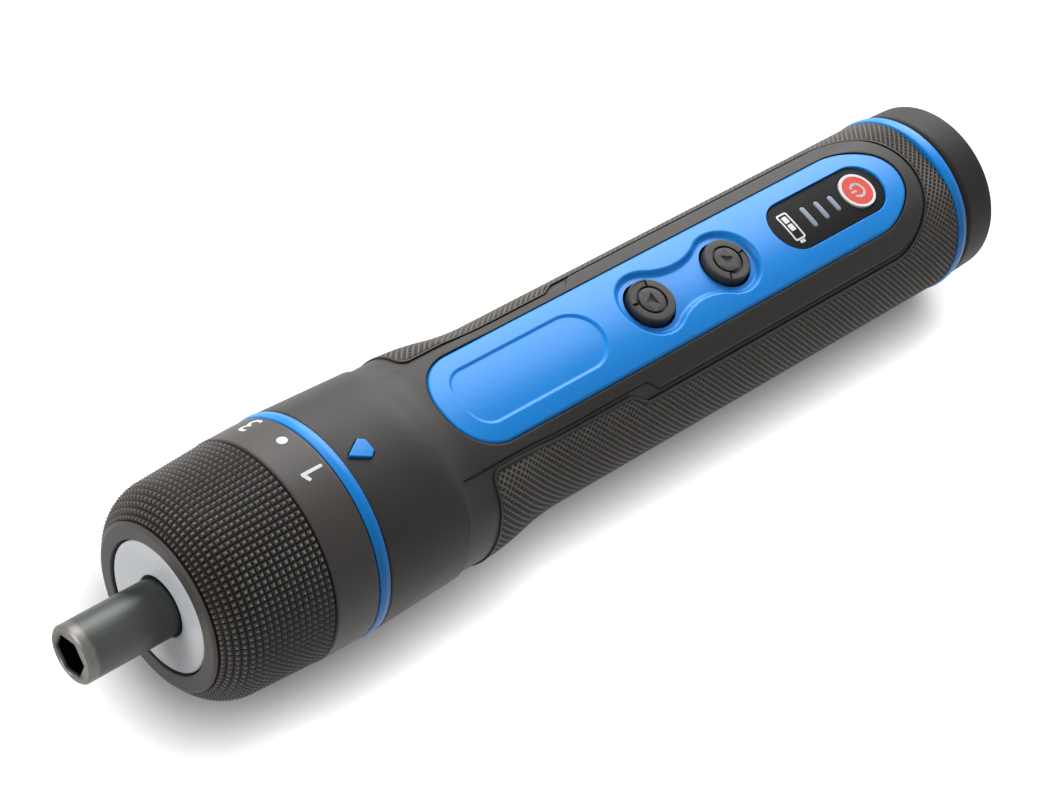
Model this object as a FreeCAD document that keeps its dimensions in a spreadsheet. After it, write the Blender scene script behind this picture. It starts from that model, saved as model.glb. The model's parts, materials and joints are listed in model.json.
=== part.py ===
import FreeCAD, Part

# Electric screwdriver: a straight cordless tool with a torque selector and a panel of buttons on top.
# Millimetres. The origin is the centre of the tail end face, +X runs along the spindle towards the bit,
# and +Z points up through the control panel.

import math
import os

import Sketcher

Vector = FreeCAD.Vector
X_AXIS = Vector(1, 0, 0)
Y_AXIS = Vector(0, 1, 0)
Z_AXIS = Vector(0, 0, 1)

# Driving dimensions, grouped by sub-assembly

SIZES = {
    # tail cap and trim
    "cap_length": 8.9,
    "cap_radius": 17.35,
    "cap_end_radius": 17.0,
    "cap_end_round": 1.0,
    "cap_wall": 2.2,
    "spigot_length": 6.0,
    "tail_ring_width": 2.4,
    "tail_ring_radius": 17.8,
    "port_width": 9.0,
    "port_height": 3.3,
    "port_depth": 7.4,
    "port_wall": 0.3,
    # housing halves and grip
    "handle_length": 128.3,
    "barrel_length": 18.0,
    "barrel_rear_radius": 19.75,
    "barrel_taper": 0.6,
    "barrel_wall": 3.15,
    "barrel_step": 0.1,
    "shell_wall": 1.9,
    "grip_radius": 17.55,
    "grip_thickness": 1.6,
    "flare_start": 26.6,
    "flare_length": 21.0,
    # raised bezel round the panel
    "land_radius": 17.9,
    "land_setback": 5.3,
    "land_half_width": 13.2,
    "land_front_half_width": 11.5,
    "land_jog_back": 44.6,
    "land_jog_length": 2.5,
    "slope_past_barrel": 6.35,
    "slope_over": 0.36,
    "grip_below": 0.2,
    # control panel
    "panel_setback": 2.9,
    "panel_front_gap": 4.7,
    "panel_half_width": 9.5,
    "panel_corner": 9.0,
    "panel_rear_round": 7.5,
    "panel_shoulder": 15.0,
    "panel_crown_radius": 30.0,
    "panel_crown_height": 16.9,
    "panel_thickness": 1.8,
    "window_setback": 3.4,
    "window_half_width": 7.0,
    "window_past_button": 6.6,
    "label_rear_gap": 5.05,
    "label_front_gap": 4.0,
    "label_half_width": 6.2,
    "label_corner": 4.8,
    "label_depth": 0.4,
    # direction buttons
    "reverse_setback": 46.65,
    "button_spacing": 19.25,
    "button_radius": 4.5,
    "button_proud": 0.2,
    "button_travel": 0.5,
    "button_hole_gap": 0.4,
    "tab_reach": 1.3,
    "tab_half_width": 2.4,
    "tab_thickness": 0.9,
    "plunger_radius": 1.5,
    "lobe_radius": 7.2,
    "waist_half_width": 4.6,
    "recess_depth": 1.1,
    # indicator plate and power button
    "pill_setback": 5.0,
    "pill_length": 29.0,
    "pill_half_width": 5.4,
    "pill_sink": 0.45,
    "pill_lip": 1.0,
    "pill_lip_thickness": 0.75,
    "power_setback": 6.05,
    "power_radius": 3.8,
    "power_proud": 0.25,
    "bar_setback": 12.45,
    "bar_pitch": 3.5,
    "bar_width": 1.3,
    "bar_length": 3.7,
    "bar_growth": 0.6,
    # pointer
    "pointer_tip_back": 1.5,
    "pointer_length": 4.6,
    "pointer_shoulder": 1.1,
    "pointer_half_width": 2.0,
    "pointer_rear_half_width": 1.15,
    "pointer_depth": 0.7,
    # control board
    "board_half_width": 8.5,
    "board_thickness": 1.2,
    "board_top": 10.8,
    "board_setback": 0.8,
    "board_past_button": 5.2,
    "switch_size": 5.0,
    "switch_body": 1.1,
    "switch_stem": 0.4,
    "switch_stem_radius": 1.2,
    "led_size": 1.6,
    "led_height": 0.8,
    # battery
    "cell_radius": 9.25,
    "cell_front_gap": 11.85,
    "cell_button_radius": 3.4,
    "cell_button_length": 1.2,
    "cell_drop": 3.2,
    "cell_setback": 1.4,
    "cradle_wall": 1.7,
    "cell_tab_width": 7.0,
    "cell_tab_thickness": 0.3,
    # housing screws
    "screw_gap": 6.0,
    "screw_spread": 7.0,
    "screw_radius": 1.25,
    "screw_head_radius": 2.3,
    "screw_head_height": 1.6,
    "screw_length": 18.0,
    "screw_floor": 1.0,
    "boss_radius": 2.9,
    # motor
    "motor_radius": 12.2,
    "motor_length": 31.0,
    "motor_can_wall": 0.9,
    "motor_cap_length": 3.0,
    "motor_boss_radius": 3.2,
    "motor_boss_length": 1.6,
    "shaft_radius": 1.15,
    "rotor_radius": 8.4,
    "rotor_length": 19.0,
    "magnet_thickness": 2.1,
    "motor_plate_thickness": 2.0,
    "motor_screw_spread": 8.5,
    "motor_screw_radius": 1.2,
    "motor_screw_head": 2.1,
    "motor_screw_length": 4.0,
    # planetary gears
    "ring_rim": 1.88,
    "pressure_angle": 20.0,
    "gear_face": 5.5,
    "backlash": 0.2,
    "pin_radius": 1.2,
    "carrier_gap": 0.94,
    "carrier_thickness": 2.2,
    # gear case and clutch
    "case_wall": 3.0,
    "case_skin": 1.4,
    "case_proud": 0.4,
    "collar_length": 8.0,
    "collar_wall": 0.8,
    "nose_wall": 1.4,
    "nose_flat_depth": 1.0,
    "ball_radius": 1.6,
    "ball_inset": 1.2,
    "ball_count": 6,
    "washer_thickness": 1.4,
    "washer_gap": 0.3,
    "spring_wire": 2.0,
    "spring_length": 12.4,
    "spring_turns": 3.5,
    "nut_length": 6.0,
    # selector
    "head_ring_width": 2.15,
    "head_ring_step": 0.15,
    "selector_length": 29.45,
    "selector_step": 0.1,
    "selector_rear_wall": 2.85,
    "band_length": 8.55,
    "band_taper": 0.1,
    "selector_taper": 0.85,
    "selector_front_skin": 2.9,
    "selector_round_length": 8.0,
    "selector_round_drop": 4.9,
    "selector_rim": 7.4,
    "selector_front_wall": 6.0,
    # nose light
    "retainer_inset": 2.9,
    "retainer_length": 3.5,
    "retainer_flange": 1.3,
    "light_board_thickness": 1.2,
    "light_count": 6,
    "lens_skirt": 0.5,
    "lens_plate": 1.8,
    "lens_sink": 0.35,
    "lens_bore": 5.5,
    # spindle
    "spindle_radius": 5.15,
    "journal_radius": 5.0,
    "nose_shoulder": 0.6,
    "spindle_reach": 16.6,
    "spindle_chamfer": 0.35,
    "tang_radius": 4.2,
    "tang_flat": 3.3,
    "hex_across_flats": 6.45,
    "hex_depth": 14.0,
    "magnet_radius": 2.9,
    "magnet_length": 2.5,
    "clip_thickness": 1.0,
    "clip_radius": 6.9,
    "clip_groove": 0.6,
    "bush_length": 7.0,
    "rear_bush_wall": 1.3,
    # clearances
    "bond_gap": 0.05,
    "run_gap": 0.06,
    "slide_gap": 0.25,
    "side_gap": 0.35,
    "thrust_gap": 0.6,
}

# Tooth counts. The ring has the sun's teeth and twice the planet's, and three planets fit evenly.
SUN_TEETH = 12
PLANET_TEETH = 15
RING_TEETH = SUN_TEETH + 2 * PLANET_TEETH
PLANETS = 3

# Tooth heights above and below the pitch circle, in modules
TOOTH_TIP = 0.8
TOOTH_ROOT = 1.2
RING_TIP = 0.6

# Share of the room between the spindle and the selector's thread that the gear case's nose takes
NOSE_SHARE = 0.35

# Turn of the clutch balls from +Z, in degrees, which sets them between the flats of the nose
BALL_TURN = 30.0

doc = FreeCAD.newDocument("Screwdriver")
sheet = doc.addObject("Spreadsheet::Sheet", "Sizes")
for row, (alias, number) in enumerate(SIZES.items(), start=1):
    sheet.set(f"A{row}", alias)
    sheet.set(f"B{row}", str(number))
    sheet.setAlias(f"B{row}", alias)
doc.recompute()


class Size:
    """A length with the spreadsheet formula that it follows."""

    def __init__(self, formula, value):
        self.formula = formula
        self.value = value

    def __add__(self, other):
        return mix(self, "+", other, value_of(self) + value_of(other))

    def __radd__(self, other):
        return mix(other, "+", self, value_of(self) + value_of(other))

    def __sub__(self, other):
        return mix(self, "-", other, value_of(self) - value_of(other))

    def __rsub__(self, other):
        return mix(other, "-", self, value_of(other) - value_of(self))

    def __mul__(self, other):
        return mix(self, "*", other, value_of(self) * value_of(other))

    def __rmul__(self, other):
        return mix(other, "*", self, value_of(self) * value_of(other))

    def __truediv__(self, other):
        return mix(self, "/", other, value_of(self) / value_of(other))

    def __neg__(self):
        return Size(f"(-{self.formula})", -self.value)


def value_of(size):
    return size.value if isinstance(size, Size) else size


def formula_of(size):
    return size.formula if isinstance(size, Size) else repr(size)


def mix(left, sign, right, value):
    return Size(f"({formula_of(left)} {sign} {formula_of(right)})", value)


def magnitude(size):
    return Size(f"abs({size.formula})", abs(size.value))


def root(size):
    return Size(f"sqrt({size.formula})", math.sqrt(size.value))


class SheetSizes:
    """Gives each cell of the sheet as a Size, by its alias."""

    def __getattr__(self, alias):
        return Size(f"Sizes.{alias}", float(sheet.get(alias)))


S = SheetSizes()

# Ways to draw and bind

NODES = {}


def bind(thing, name, size):
    """Ties a property to a size, or sets it where the size is a bare number."""
    if isinstance(size, Size):
        thing.setExpression(name, size.formula)
    elif size:
        thing.setExpression(name, repr(float(size)))


def place(thing, x=0.0, y=0.0, z=0.0):
    bind(thing, "Placement.Base.x", x)
    bind(thing, "Placement.Base.y", y)
    bind(thing, "Placement.Base.z", z)


def node(name, thing):
    """Gives a finished piece its name."""
    thing.Label = name
    NODES[name] = thing
    return thing


def rod(name, start, end, radius, y=0.0, z=0.0):
    """A cylinder along X from start to end."""
    thing = doc.addObject("Part::Cylinder", name)
    thing.Placement = FreeCAD.Placement(Vector(), FreeCAD.Rotation(Y_AXIS, 90))
    bind(thing, "Radius", radius)
    bind(thing, "Height", end - start)
    place(thing, start, y, z)
    return thing


def post(name, x, y, bottom, top, radius):
    """A cylinder along Z from bottom to top."""
    thing = doc.addObject("Part::Cylinder", name)
    bind(thing, "Radius", radius)
    bind(thing, "Height", top - bottom)
    place(thing, x, y, bottom)
    return thing


def block(name, x, y, z):
    """A box between pairs of sizes along X, Y and Z."""
    thing = doc.addObject("Part::Box", name)
    for edge, (low, high) in zip(("Length", "Width", "Height"), (x, y, z)):
        bind(thing, edge, high - low)
    place(thing, x[0], y[0], z[0])
    return thing


def cut(name, base, *tools):
    thing = doc.addObject("Part::Cut", name)
    thing.Base = base
    thing.Tool = tools[0] if len(tools) == 1 else join(f"{name}_tools", *tools)
    return thing


def join(name, *pieces):
    thing = doc.addObject("Part::MultiFuse", name)
    thing.Shapes = list(pieces)
    return thing


def overlap(name, *pieces):
    thing = doc.addObject("Part::MultiCommon", name)
    thing.Shapes = list(pieces)
    return thing


def group(name, pieces):
    thing = doc.addObject("Part::Compound", name)
    thing.Links = list(pieces)
    return thing


def arc_between(start, end, radius, clockwise):
    """The arc of the given radius from start to end, and whether it runs backwards."""
    chord = end.sub(start)
    middle = start.add(end).multiply(0.5)
    across = Vector(-chord.y, chord.x, 0).normalize()
    rise = math.sqrt(max(radius * radius - chord.Length * chord.Length / 4, 0.0))
    centre = middle.add(across.multiply(-rise if clockwise else rise))
    first, last = (end, start) if clockwise else (start, end)
    begin = math.atan2(first.y - centre.y, first.x - centre.x)
    finish = math.atan2(last.y - centre.y, last.x - centre.x)
    return Part.ArcOfCircle(Part.Circle(centre, Z_AXIS, radius), begin, finish)


def draw(sketch, corners):
    """A closed outline through corners (across, up), each held by its sizes.

    A corner may add an arc to the next corner: (across, up, radius, clockwise).
    """
    points = [Vector(value_of(corner[0]), value_of(corner[1]), 0) for corner in corners]
    ends = []
    for index, corner in enumerate(corners):
        start = points[index]
        end = points[(index + 1) % len(points)]
        if len(corner) == 2:
            edge = sketch.addGeometry(Part.LineSegment(start, end), False)
            ends.append((edge, 1, 2))
        else:
            edge = sketch.addGeometry(arc_between(start, end, value_of(corner[2]), corner[3]), False)
            ends.append((edge, 2, 1) if corner[3] else (edge, 1, 2))
    for index, (edge, _, tail) in enumerate(ends):
        following = ends[(index + 1) % len(ends)]
        sketch.addConstraint(Sketcher.Constraint("Coincident", edge, tail, following[0], following[1]))
    for (edge, head, _), corner, point in zip(ends, corners, points):
        hold(sketch, Sketcher.Constraint("DistanceX", -1, 1, edge, head, point.x), corner[0])
        hold(sketch, Sketcher.Constraint("DistanceY", -1, 1, edge, head, point.y), corner[1])
        if len(corner) > 2:
            hold(sketch, Sketcher.Constraint("Radius", edge, value_of(corner[2])), corner[2])


def hold(sketch, constraint, size):
    index = sketch.addConstraint(constraint)
    if isinstance(size, Size):
        sketch.setExpression(f"Constraints[{index}]", size.formula)


def new_sketch(body, name, plane_role, offset=0.0):
    sketch = body.newObject("Sketcher::SketchObject", name)
    plane = next(item for item in body.Origin.OriginFeatures if item.Role == plane_role)
    sketch.AttachmentSupport = [(plane, "")]
    sketch.MapMode = "FlatFace"
    bind(sketch, "AttachmentOffset.Base.z", offset)
    return sketch


def turned(name, corners, angle=360.0):
    """A body turned about the spindle axis from corners (station, radius).

    Less than a full turn is centred on +Z.
    """
    body = doc.addObject("PartDesign::Body", name)
    sketch = new_sketch(body, f"{name}_profile", "XZ_Plane")
    draw(sketch, corners)
    turn = body.newObject("PartDesign::Revolution", f"{name}_turn")
    turn.Profile = sketch
    turn.ReferenceAxis = (sketch, ["H_Axis"])
    turn.Angle = angle
    turn.Midplane = angle < 360.0
    sketch.Visibility = False
    return body


def prism(name, corners, bottom, top):
    """A body drawn in plan and raised from bottom to top."""
    body = doc.addObject("PartDesign::Body", name)
    sketch = new_sketch(body, f"{name}_plan", "XY_Plane", bottom)
    draw(sketch, corners)
    pad = body.newObject("PartDesign::Pad", f"{name}_pad")
    pad.Profile = sketch
    bind(pad, "Length", top - bottom)
    return body


def tube(name, start, end, inner, outer):
    return turned(name, [(start, inner), (end, inner), (end, outer), (start, outer)])


def pill_plan(rear, front, half_width):
    """Plan of a slot with round ends, from its rear end to its front end."""
    return [
        (rear + half_width, -half_width),
        (front - half_width, -half_width, half_width, False),
        (front, 0.0, half_width, False),
        (front - half_width, half_width),
        (rear + half_width, half_width, half_width, False),
        (rear, 0.0, half_width, False),
    ]


def round_about(name, shape_maker, count, circle, turn=0.0):
    """Copies of a shape spread evenly on a circle about the spindle axis."""
    copies = []
    for index in range(int(value_of(count))):
        angle = turn + 360.0 * index / value_of(count)
        sine = math.sin(math.radians(angle))
        cosine = math.cos(math.radians(angle))
        copies.append(shape_maker(f"{name}_{index + 1}", circle * sine, circle * cosine))
    return copies


# Stations along X, from the tail to the tip

tail_ring_front = S.cap_length + S.tail_ring_width
barrel_rear = tail_ring_front + S.handle_length
barrel_front = barrel_rear + S.barrel_length
head_ring_front = barrel_front + S.head_ring_width
selector_rear = head_ring_front + S.slide_gap
selector_front = head_ring_front + S.selector_length
spindle_tip = selector_front + S.spindle_reach
land_rear = tail_ring_front + S.land_setback
panel_rear = land_rear + S.panel_setback
panel_front = barrel_rear - S.panel_front_gap
reverse_x = panel_rear + S.reverse_setback
forward_x = reverse_x + S.button_spacing
pill_rear = panel_rear + S.pill_setback
pill_front = pill_rear + S.pill_length
power_x = pill_rear + S.power_setback
bar_x = pill_rear + S.bar_setback
window_rear = panel_rear + S.window_setback
window_front = forward_x + S.window_past_button
label_rear = forward_x + S.lobe_radius + S.label_rear_gap
label_front = panel_front - S.label_front_gap

# Stations of the gear train, from the front wall of the gear case back to the motor

case_front = barrel_front + S.case_proud
case_wall_rear = case_front - S.case_wall
carrier_2_front = case_wall_rear - S.thrust_gap
carrier_2_rear = carrier_2_front - S.carrier_thickness
planet_2_front = carrier_2_rear - S.side_gap
planet_2_rear = planet_2_front - S.gear_face
carrier_1_front = planet_2_rear - S.side_gap
carrier_1_rear = carrier_1_front - S.carrier_thickness
planet_1_front = carrier_1_rear - S.side_gap
planet_1_rear = planet_1_front - S.gear_face
plate_front = planet_1_rear - S.thrust_gap
motor_front = plate_front - S.motor_plate_thickness
motor_rear = motor_front - S.motor_length
motor_cap_rear = motor_rear - S.motor_cap_length
ring_2_front = case_wall_rear - S.slide_gap
ring_2_rear = planet_2_rear - S.slide_gap
ring_1_front = ring_2_rear - S.slide_gap

# Stations of the clutch and the nose

washer_rear = case_front + S.slide_gap
washer_front = washer_rear + S.washer_thickness
nut_rear = washer_front + S.spring_length
nut_front = nut_rear + S.nut_length
nose_front = selector_front - S.selector_front_wall - S.slide_gap
lens_front = selector_front - S.lens_sink

# Radii and heights that several pieces share

core_radius = S.grip_radius - S.grip_thickness
shell_bore = core_radius - S.shell_wall
crown_centre = S.panel_crown_height - S.panel_crown_radius
panel_under = S.panel_crown_radius - S.panel_thickness
cell_z = -S.cell_drop
grip_crest = S.barrel_rear_radius - S.barrel_step
flare_begin = barrel_rear - S.flare_start
flare_end = flare_begin + S.flare_length
plan_bottom = Size("0.0", 0.0)
plan_top = S.land_radius + S.barrel_rear_radius
switch_top = S.board_top + S.switch_body + S.switch_stem

# Radii of the head, which follow the barrel: gears inwards from its bore, selector from its front edge

barrel_front_radius = S.barrel_rear_radius + S.barrel_taper
gearbox_bore = S.barrel_rear_radius - S.barrel_wall
ring_outer_radius = gearbox_bore - S.case_skin
gear_module = (ring_outer_radius - S.ring_rim) / (RING_TEETH / 2 + TOOTH_ROOT)
orbit = gear_module * (SUN_TEETH + PLANET_TEETH) / 2
carrier_radius = gear_module * (RING_TEETH / 2 - RING_TIP) - S.carrier_gap
ball_circle = ring_outer_radius - S.ball_inset
head_ring_radius = barrel_front_radius + S.head_ring_step
selector_rear_radius = barrel_front_radius - S.selector_step
band_front_radius = selector_rear_radius - S.band_taper
selector_front_radius = selector_rear_radius - S.selector_taper
selector_mouth = selector_front_radius - S.selector_rim
collar_radius = selector_rear_radius - S.selector_rear_wall
collar_bore = collar_radius - S.collar_wall
thread_radius = selector_front_radius - S.selector_front_skin
nose_radius = S.journal_radius + (thread_radius - S.journal_radius) * NOSE_SHARE
nose_flat = nose_radius - S.nose_flat_depth
nose_bore = nose_radius - S.nose_wall
spring_radius = (nose_radius + thread_radius) / 2
lens_radius = selector_mouth - S.slide_gap
light_board_radius = lens_radius - S.lens_skirt - S.slide_gap
light_circle = (S.lens_bore + light_board_radius) / 2


def s_curve(start, start_radius, end, end_radius, inset=0.0):
    """Corners of two equal arcs that are level at both ends, set in from the surface that they make."""
    rise = end_radius - start_radius
    length = end - start
    arc = (length * length + rise * rise) / (4 * magnitude(rise))
    up = rise.value > 0
    hollow = arc + inset
    crest = arc - inset
    return [
        (start, start_radius - inset, hollow if up else crest, not up),
        ((start + end) / 2, (start_radius + end_radius) / 2 - inset, crest if up else hollow, up),
        (end, end_radius - inset),
    ]


def backwards(corners):
    """The same corners walked the other way, with each arc turned round."""
    walked = [corners[-1][:2]]
    for corner in reversed(corners[:-1]):
        walked[-1] = walked[-1] + (corner[2], not corner[3])
        walked.append(corner[:2])
    return walked


def flare(inset):
    """The S-shaped change from the grip's radius to the barrel's, set in from the grip's surface."""
    return s_curve(flare_begin, S.grip_radius, flare_end, grip_crest, inset)


# Housing halves, with the raised bezel on the upper one


def land_plan(gap):
    """Plan of the bezel, widened all round by a gap."""
    wide = S.land_half_width + gap
    narrow = S.land_front_half_width + gap
    jog = barrel_rear - S.land_jog_back
    centre = land_rear + S.land_half_width
    front = barrel_rear + S.land_jog_length
    return [
        (centre, -wide),
        (jog - S.land_jog_length + gap, -wide),
        (jog + gap, -narrow),
        (front, -narrow),
        (front, narrow),
        (jog + gap, narrow),
        (jog - S.land_jog_length + gap, wide),
        (centre, wide, wide, False),
        (centre - wide, 0.0, wide, False),
    ]


def shield_plan(rear, front, half, corner):
    """Plan with a round rear end and two rounded front corners."""
    return [
        (rear + half, -half),
        (front - corner, -half, corner, False),
        (front, corner - half),
        (front, half - corner, corner, False),
        (front - corner, half),
        (rear + half, half, half, False),
        (rear, 0.0, half, False),
    ]


def panel_plan(gap):
    """Plan of the control panel, widened all round by a gap: oval at the rear, rounded at the front."""
    half = S.panel_half_width + gap
    corner = S.panel_corner + gap
    front = panel_front + gap
    nose = S.panel_rear_round + gap
    shoulder = S.panel_shoulder + gap
    between = S.panel_shoulder - S.panel_rear_round
    across = S.panel_shoulder - S.panel_half_width
    along = root(between * between - across * across)
    nose_centre = panel_rear + S.panel_rear_round
    meet_x = nose_centre - nose * along / between
    meet_y = nose * across / between
    side = nose_centre + along
    return [
        (side, -half),
        (front - corner, -half, corner, False),
        (front, corner - half),
        (front, half - corner, corner, False),
        (front - corner, half),
        (side, half, shoulder, False),
        (meet_x, meet_y, nose, False),
        (meet_x, -meet_y, shoulder, False),
    ]


def crowned(name, plan, lower, upper):
    """A plan cut out of the curved layer between two radii about the panel's centre of curvature."""
    plan_body = prism(f"{name}_plan", plan, plan_bottom, plan_top)
    outer = rod(f"{name}_outer", land_rear, barrel_rear, upper, 0.0, crown_centre)
    layer = overlap(f"{name}_layer", plan_body, outer)
    inner = rod(f"{name}_inner", land_rear, barrel_rear, lower, 0.0, crown_centre)
    return cut(f"{name}_crowned", layer, inner)


def shell_core(name):
    """Half of the housing tube: handle core, gearbox barrel and the bores for battery, motor and gears."""
    return turned(name, [
        (tail_ring_front, shell_bore),
        (motor_front, shell_bore),
        (motor_front, gearbox_bore),
        (barrel_front, gearbox_bore),
        (barrel_front, barrel_front_radius),
        (barrel_rear, S.barrel_rear_radius),
        (barrel_rear, grip_crest - S.grip_thickness),
    ] + backwards(flare(S.grip_thickness)) + [(tail_ring_front, core_radius)], 180.0)


screw_x = motor_cap_rear - S.screw_gap
screw_seat = S.board_top + S.screw_floor
screw_foot = screw_seat - S.screw_length


def above_crown(name, rear, drop):
    """What is cut away above the panel's crown, and above the slope from its front end to the barrel.

    It starts at a rear station and lies lower than the crown by a drop.
    """
    crown_top = S.panel_crown_radius + S.bond_gap - drop
    slope_end = barrel_rear + S.slope_past_barrel
    slope_top = S.barrel_rear_radius + S.slope_over - crown_centre - drop
    excess = turned(name, [
        (rear, crown_top),
    ] + s_curve(panel_front + S.bond_gap, crown_top, slope_end, slope_top) + [
        (slope_end, plan_top),
        (rear, plan_top),
    ], 180.0)
    bind(excess, "Placement.Base.z", crown_centre)
    return excess


def make_upper_shell():
    core = shell_core("upper_core")
    rise = s_curve(flare_begin, S.land_radius, flare_end, S.barrel_rear_radius)
    land_ring = turned("land_ring", [
        (land_rear, shell_bore + S.shell_wall / 2),
        (motor_front, shell_bore + S.shell_wall / 2),
        (motor_front, gearbox_bore + S.shell_wall / 4),
        (barrel_rear + S.land_jog_length, gearbox_bore + S.shell_wall / 4),
        (barrel_rear + S.land_jog_length, S.barrel_rear_radius),
    ] + backwards(rise) + [
        (land_rear, S.land_radius),
    ])
    bezel = overlap("bezel", land_ring, prism("land", land_plan(0.0), plan_bottom, plan_top))
    bosses = [post(f"upper_boss_{side}", screw_x, S.screw_spread * side, S.bond_gap, screw_seat,
                   S.boss_radius) for side in (1, -1)]
    solid = join("upper_solid", core, bezel, *bosses)
    recess = crowned("panel_recess", panel_plan(S.bond_gap), panel_under - S.bond_gap,
                     S.panel_crown_radius + S.grip_thickness)
    window = prism("panel_window", pill_plan(window_rear, window_front, S.window_half_width),
                   plan_bottom, plan_top)
    holes = []
    for side in (1, -1):
        spread = S.screw_spread * side
        holes.append(post(f"screw_hole_{side}", screw_x, spread, plan_bottom - S.screw_length, plan_top,
                          S.screw_radius + S.bond_gap))
        holes.append(post(f"screw_sink_{side}", screw_x, spread, screw_seat, plan_top,
                          S.screw_head_radius + S.slide_gap))
    pointer = pointer_prism("pointer_cut", S.bond_gap, barrel_front_radius - S.pointer_depth - S.bond_gap)
    excess = above_crown("above_crown", land_rear, 0.0)
    node("upper_shell", cut("upper_shell_cut", solid, excess, recess, window, pointer, *holes))


def pointer_prism(name, gap, bottom):
    """The arrowhead that marks the selector's setting, drawn in plan on top of the barrel."""
    tip = barrel_front - S.pointer_tip_back
    rear = tip - S.pointer_length
    shoulder = rear + S.pointer_shoulder
    half = S.pointer_half_width + gap
    rear_half = S.pointer_rear_half_width + gap
    return prism(name, [
        (tip + gap, 0.0),
        (shoulder, half),
        (rear - gap, rear_half),
        (rear - gap, -rear_half),
        (shoulder, -half),
    ], bottom, plan_top)


def make_pointer():
    taper_room = barrel_front_radius - S.barrel_rear_radius
    barrel = turned("pointer_skin", [
        (barrel_rear, S.barrel_rear_radius - S.pointer_depth - taper_room),
        (barrel_front, barrel_front_radius - S.pointer_depth - taper_room),
        (barrel_front, barrel_front_radius - S.bond_gap),
        (barrel_rear, S.barrel_rear_radius - S.bond_gap),
    ])
    arrow = pointer_prism("pointer_arrow", 0.0, barrel_front_radius - S.pointer_depth)
    node("pointer", overlap("pointer_inlay", barrel, arrow))


def make_lower_shell():
    core = shell_core("lower_core")
    flip = FreeCAD.Placement(Vector(), FreeCAD.Rotation(X_AXIS, 180))
    core.Placement = flip
    posts = [post(f"lower_boss_{side}", screw_x, S.screw_spread * side, -core_radius, -S.bond_gap,
                  S.boss_radius) for side in (1, -1)]
    limit = rod("boss_limit", screw_x - S.boss_radius * 2, screw_x + S.boss_radius * 2,
                shell_bore + S.shell_wall / 2)
    bosses = overlap("lower_bosses", join("lower_posts", *posts), limit)
    holes = [post(f"pilot_{side}", screw_x, S.screw_spread * side, screw_foot - S.bond_gap, plan_top,
                  S.screw_radius + S.bond_gap) for side in (1, -1)]
    node("lower_shell", cut("lower_shell_cut", join("lower_solid", core, bosses), *holes))


def make_shell_screws():
    screws = []
    for side in (1, -1):
        spread = S.screw_spread * side
        shank = post(f"shell_shank_{side}", screw_x, spread, screw_foot, screw_seat + S.screw_head_height / 2,
                     S.screw_radius)
        head = post(f"shell_head_{side}", screw_x, spread, screw_seat, screw_seat + S.screw_head_height,
                    S.screw_head_radius)
        screws.append(join(f"shell_screw_{side}", shank, head))
    node("shell_screws", group("shell_screw_pair", screws))


def make_grip():
    inset = S.grip_thickness - S.bond_gap
    sleeve = turned("grip_tube", [
        (tail_ring_front + S.bond_gap, S.grip_radius - inset),
    ] + flare(inset) + [
        (barrel_rear - S.bond_gap, grip_crest - inset),
        (barrel_rear - S.bond_gap, grip_crest),
    ] + backwards(flare(0.0)) + [
        (tail_ring_front + S.bond_gap, S.grip_radius),
    ])
    opening = prism("grip_opening", land_plan(S.bond_gap), plan_bottom, plan_top)
    excess = above_crown("above_grip", flare_begin, S.grip_below)
    node("grip_sleeve", cut("grip_cut", sleeve, opening, excess))


# Control panel and what sits in it


def recess_plan():
    """Plan of the recess round the two buttons: two lobes joined by a waist."""
    half_spacing = S.button_spacing / 2
    waist = (S.waist_half_width * S.waist_half_width + half_spacing * half_spacing
             - S.lobe_radius * S.lobe_radius) / (2 * (S.lobe_radius - S.waist_half_width))
    share = S.lobe_radius / (S.lobe_radius + waist)
    joint_x = half_spacing * share
    joint_y = (S.waist_half_width + waist) * share
    return [
        (reverse_x + joint_x, -joint_y, waist, True),
        (forward_x - joint_x, -joint_y, S.lobe_radius, False),
        (forward_x + S.lobe_radius, 0.0, S.lobe_radius, False),
        (forward_x - joint_x, joint_y, waist, True),
        (reverse_x + joint_x, joint_y, S.lobe_radius, False),
        (reverse_x - S.lobe_radius, 0.0, S.lobe_radius, False),
    ]


def make_panel():
    plate = crowned("panel", panel_plan(0.0), panel_under, S.panel_crown_radius)
    above = S.panel_crown_radius + S.grip_thickness
    label_plan = shield_plan(label_rear, label_front, S.label_half_width, S.label_corner)
    label = crowned("label_pocket", label_plan, S.panel_crown_radius - S.label_depth, above)
    recess = crowned("button_recess", recess_plan(), S.panel_crown_radius - S.recess_depth, above)
    pill = prism("pill_hole", pill_plan(pill_rear, pill_front, S.pill_half_width), plan_bottom, plan_top)
    holes = [post(f"button_hole_{index}", x, 0.0, plan_bottom, plan_top, S.button_radius + S.button_hole_gap)
             for index, x in enumerate((reverse_x, forward_x))]
    node("control_panel", cut("panel_cut", plate, label, recess, pill, *holes))


def make_indicator_plate():
    top = S.panel_crown_radius - S.pill_sink
    fit = S.bond_gap * 2
    lip_top = panel_under - S.bond_gap
    lip_bottom = lip_top - S.pill_lip_thickness
    middle = lip_top - S.pill_lip_thickness / 2
    face_plan = pill_plan(pill_rear + fit, pill_front - fit, S.pill_half_width - fit)
    face = crowned("pill_face", face_plan, middle, top)
    lip_plan = pill_plan(pill_rear - S.pill_lip, pill_front + S.pill_lip, S.pill_half_width + S.pill_lip)
    lip = crowned("pill_back", lip_plan, lip_bottom, lip_top)
    hole = post("power_hole", power_x, 0.0, plan_bottom, plan_top, S.power_radius + S.button_hole_gap)
    bars = [bar_prism(f"bar_slot_{index}", index, S.bond_gap, plan_bottom, plan_top) for index in range(3)]
    node("indicator_plate", cut("pill_cut", join("pill_solid", face, lip), hole, *bars))


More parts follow.
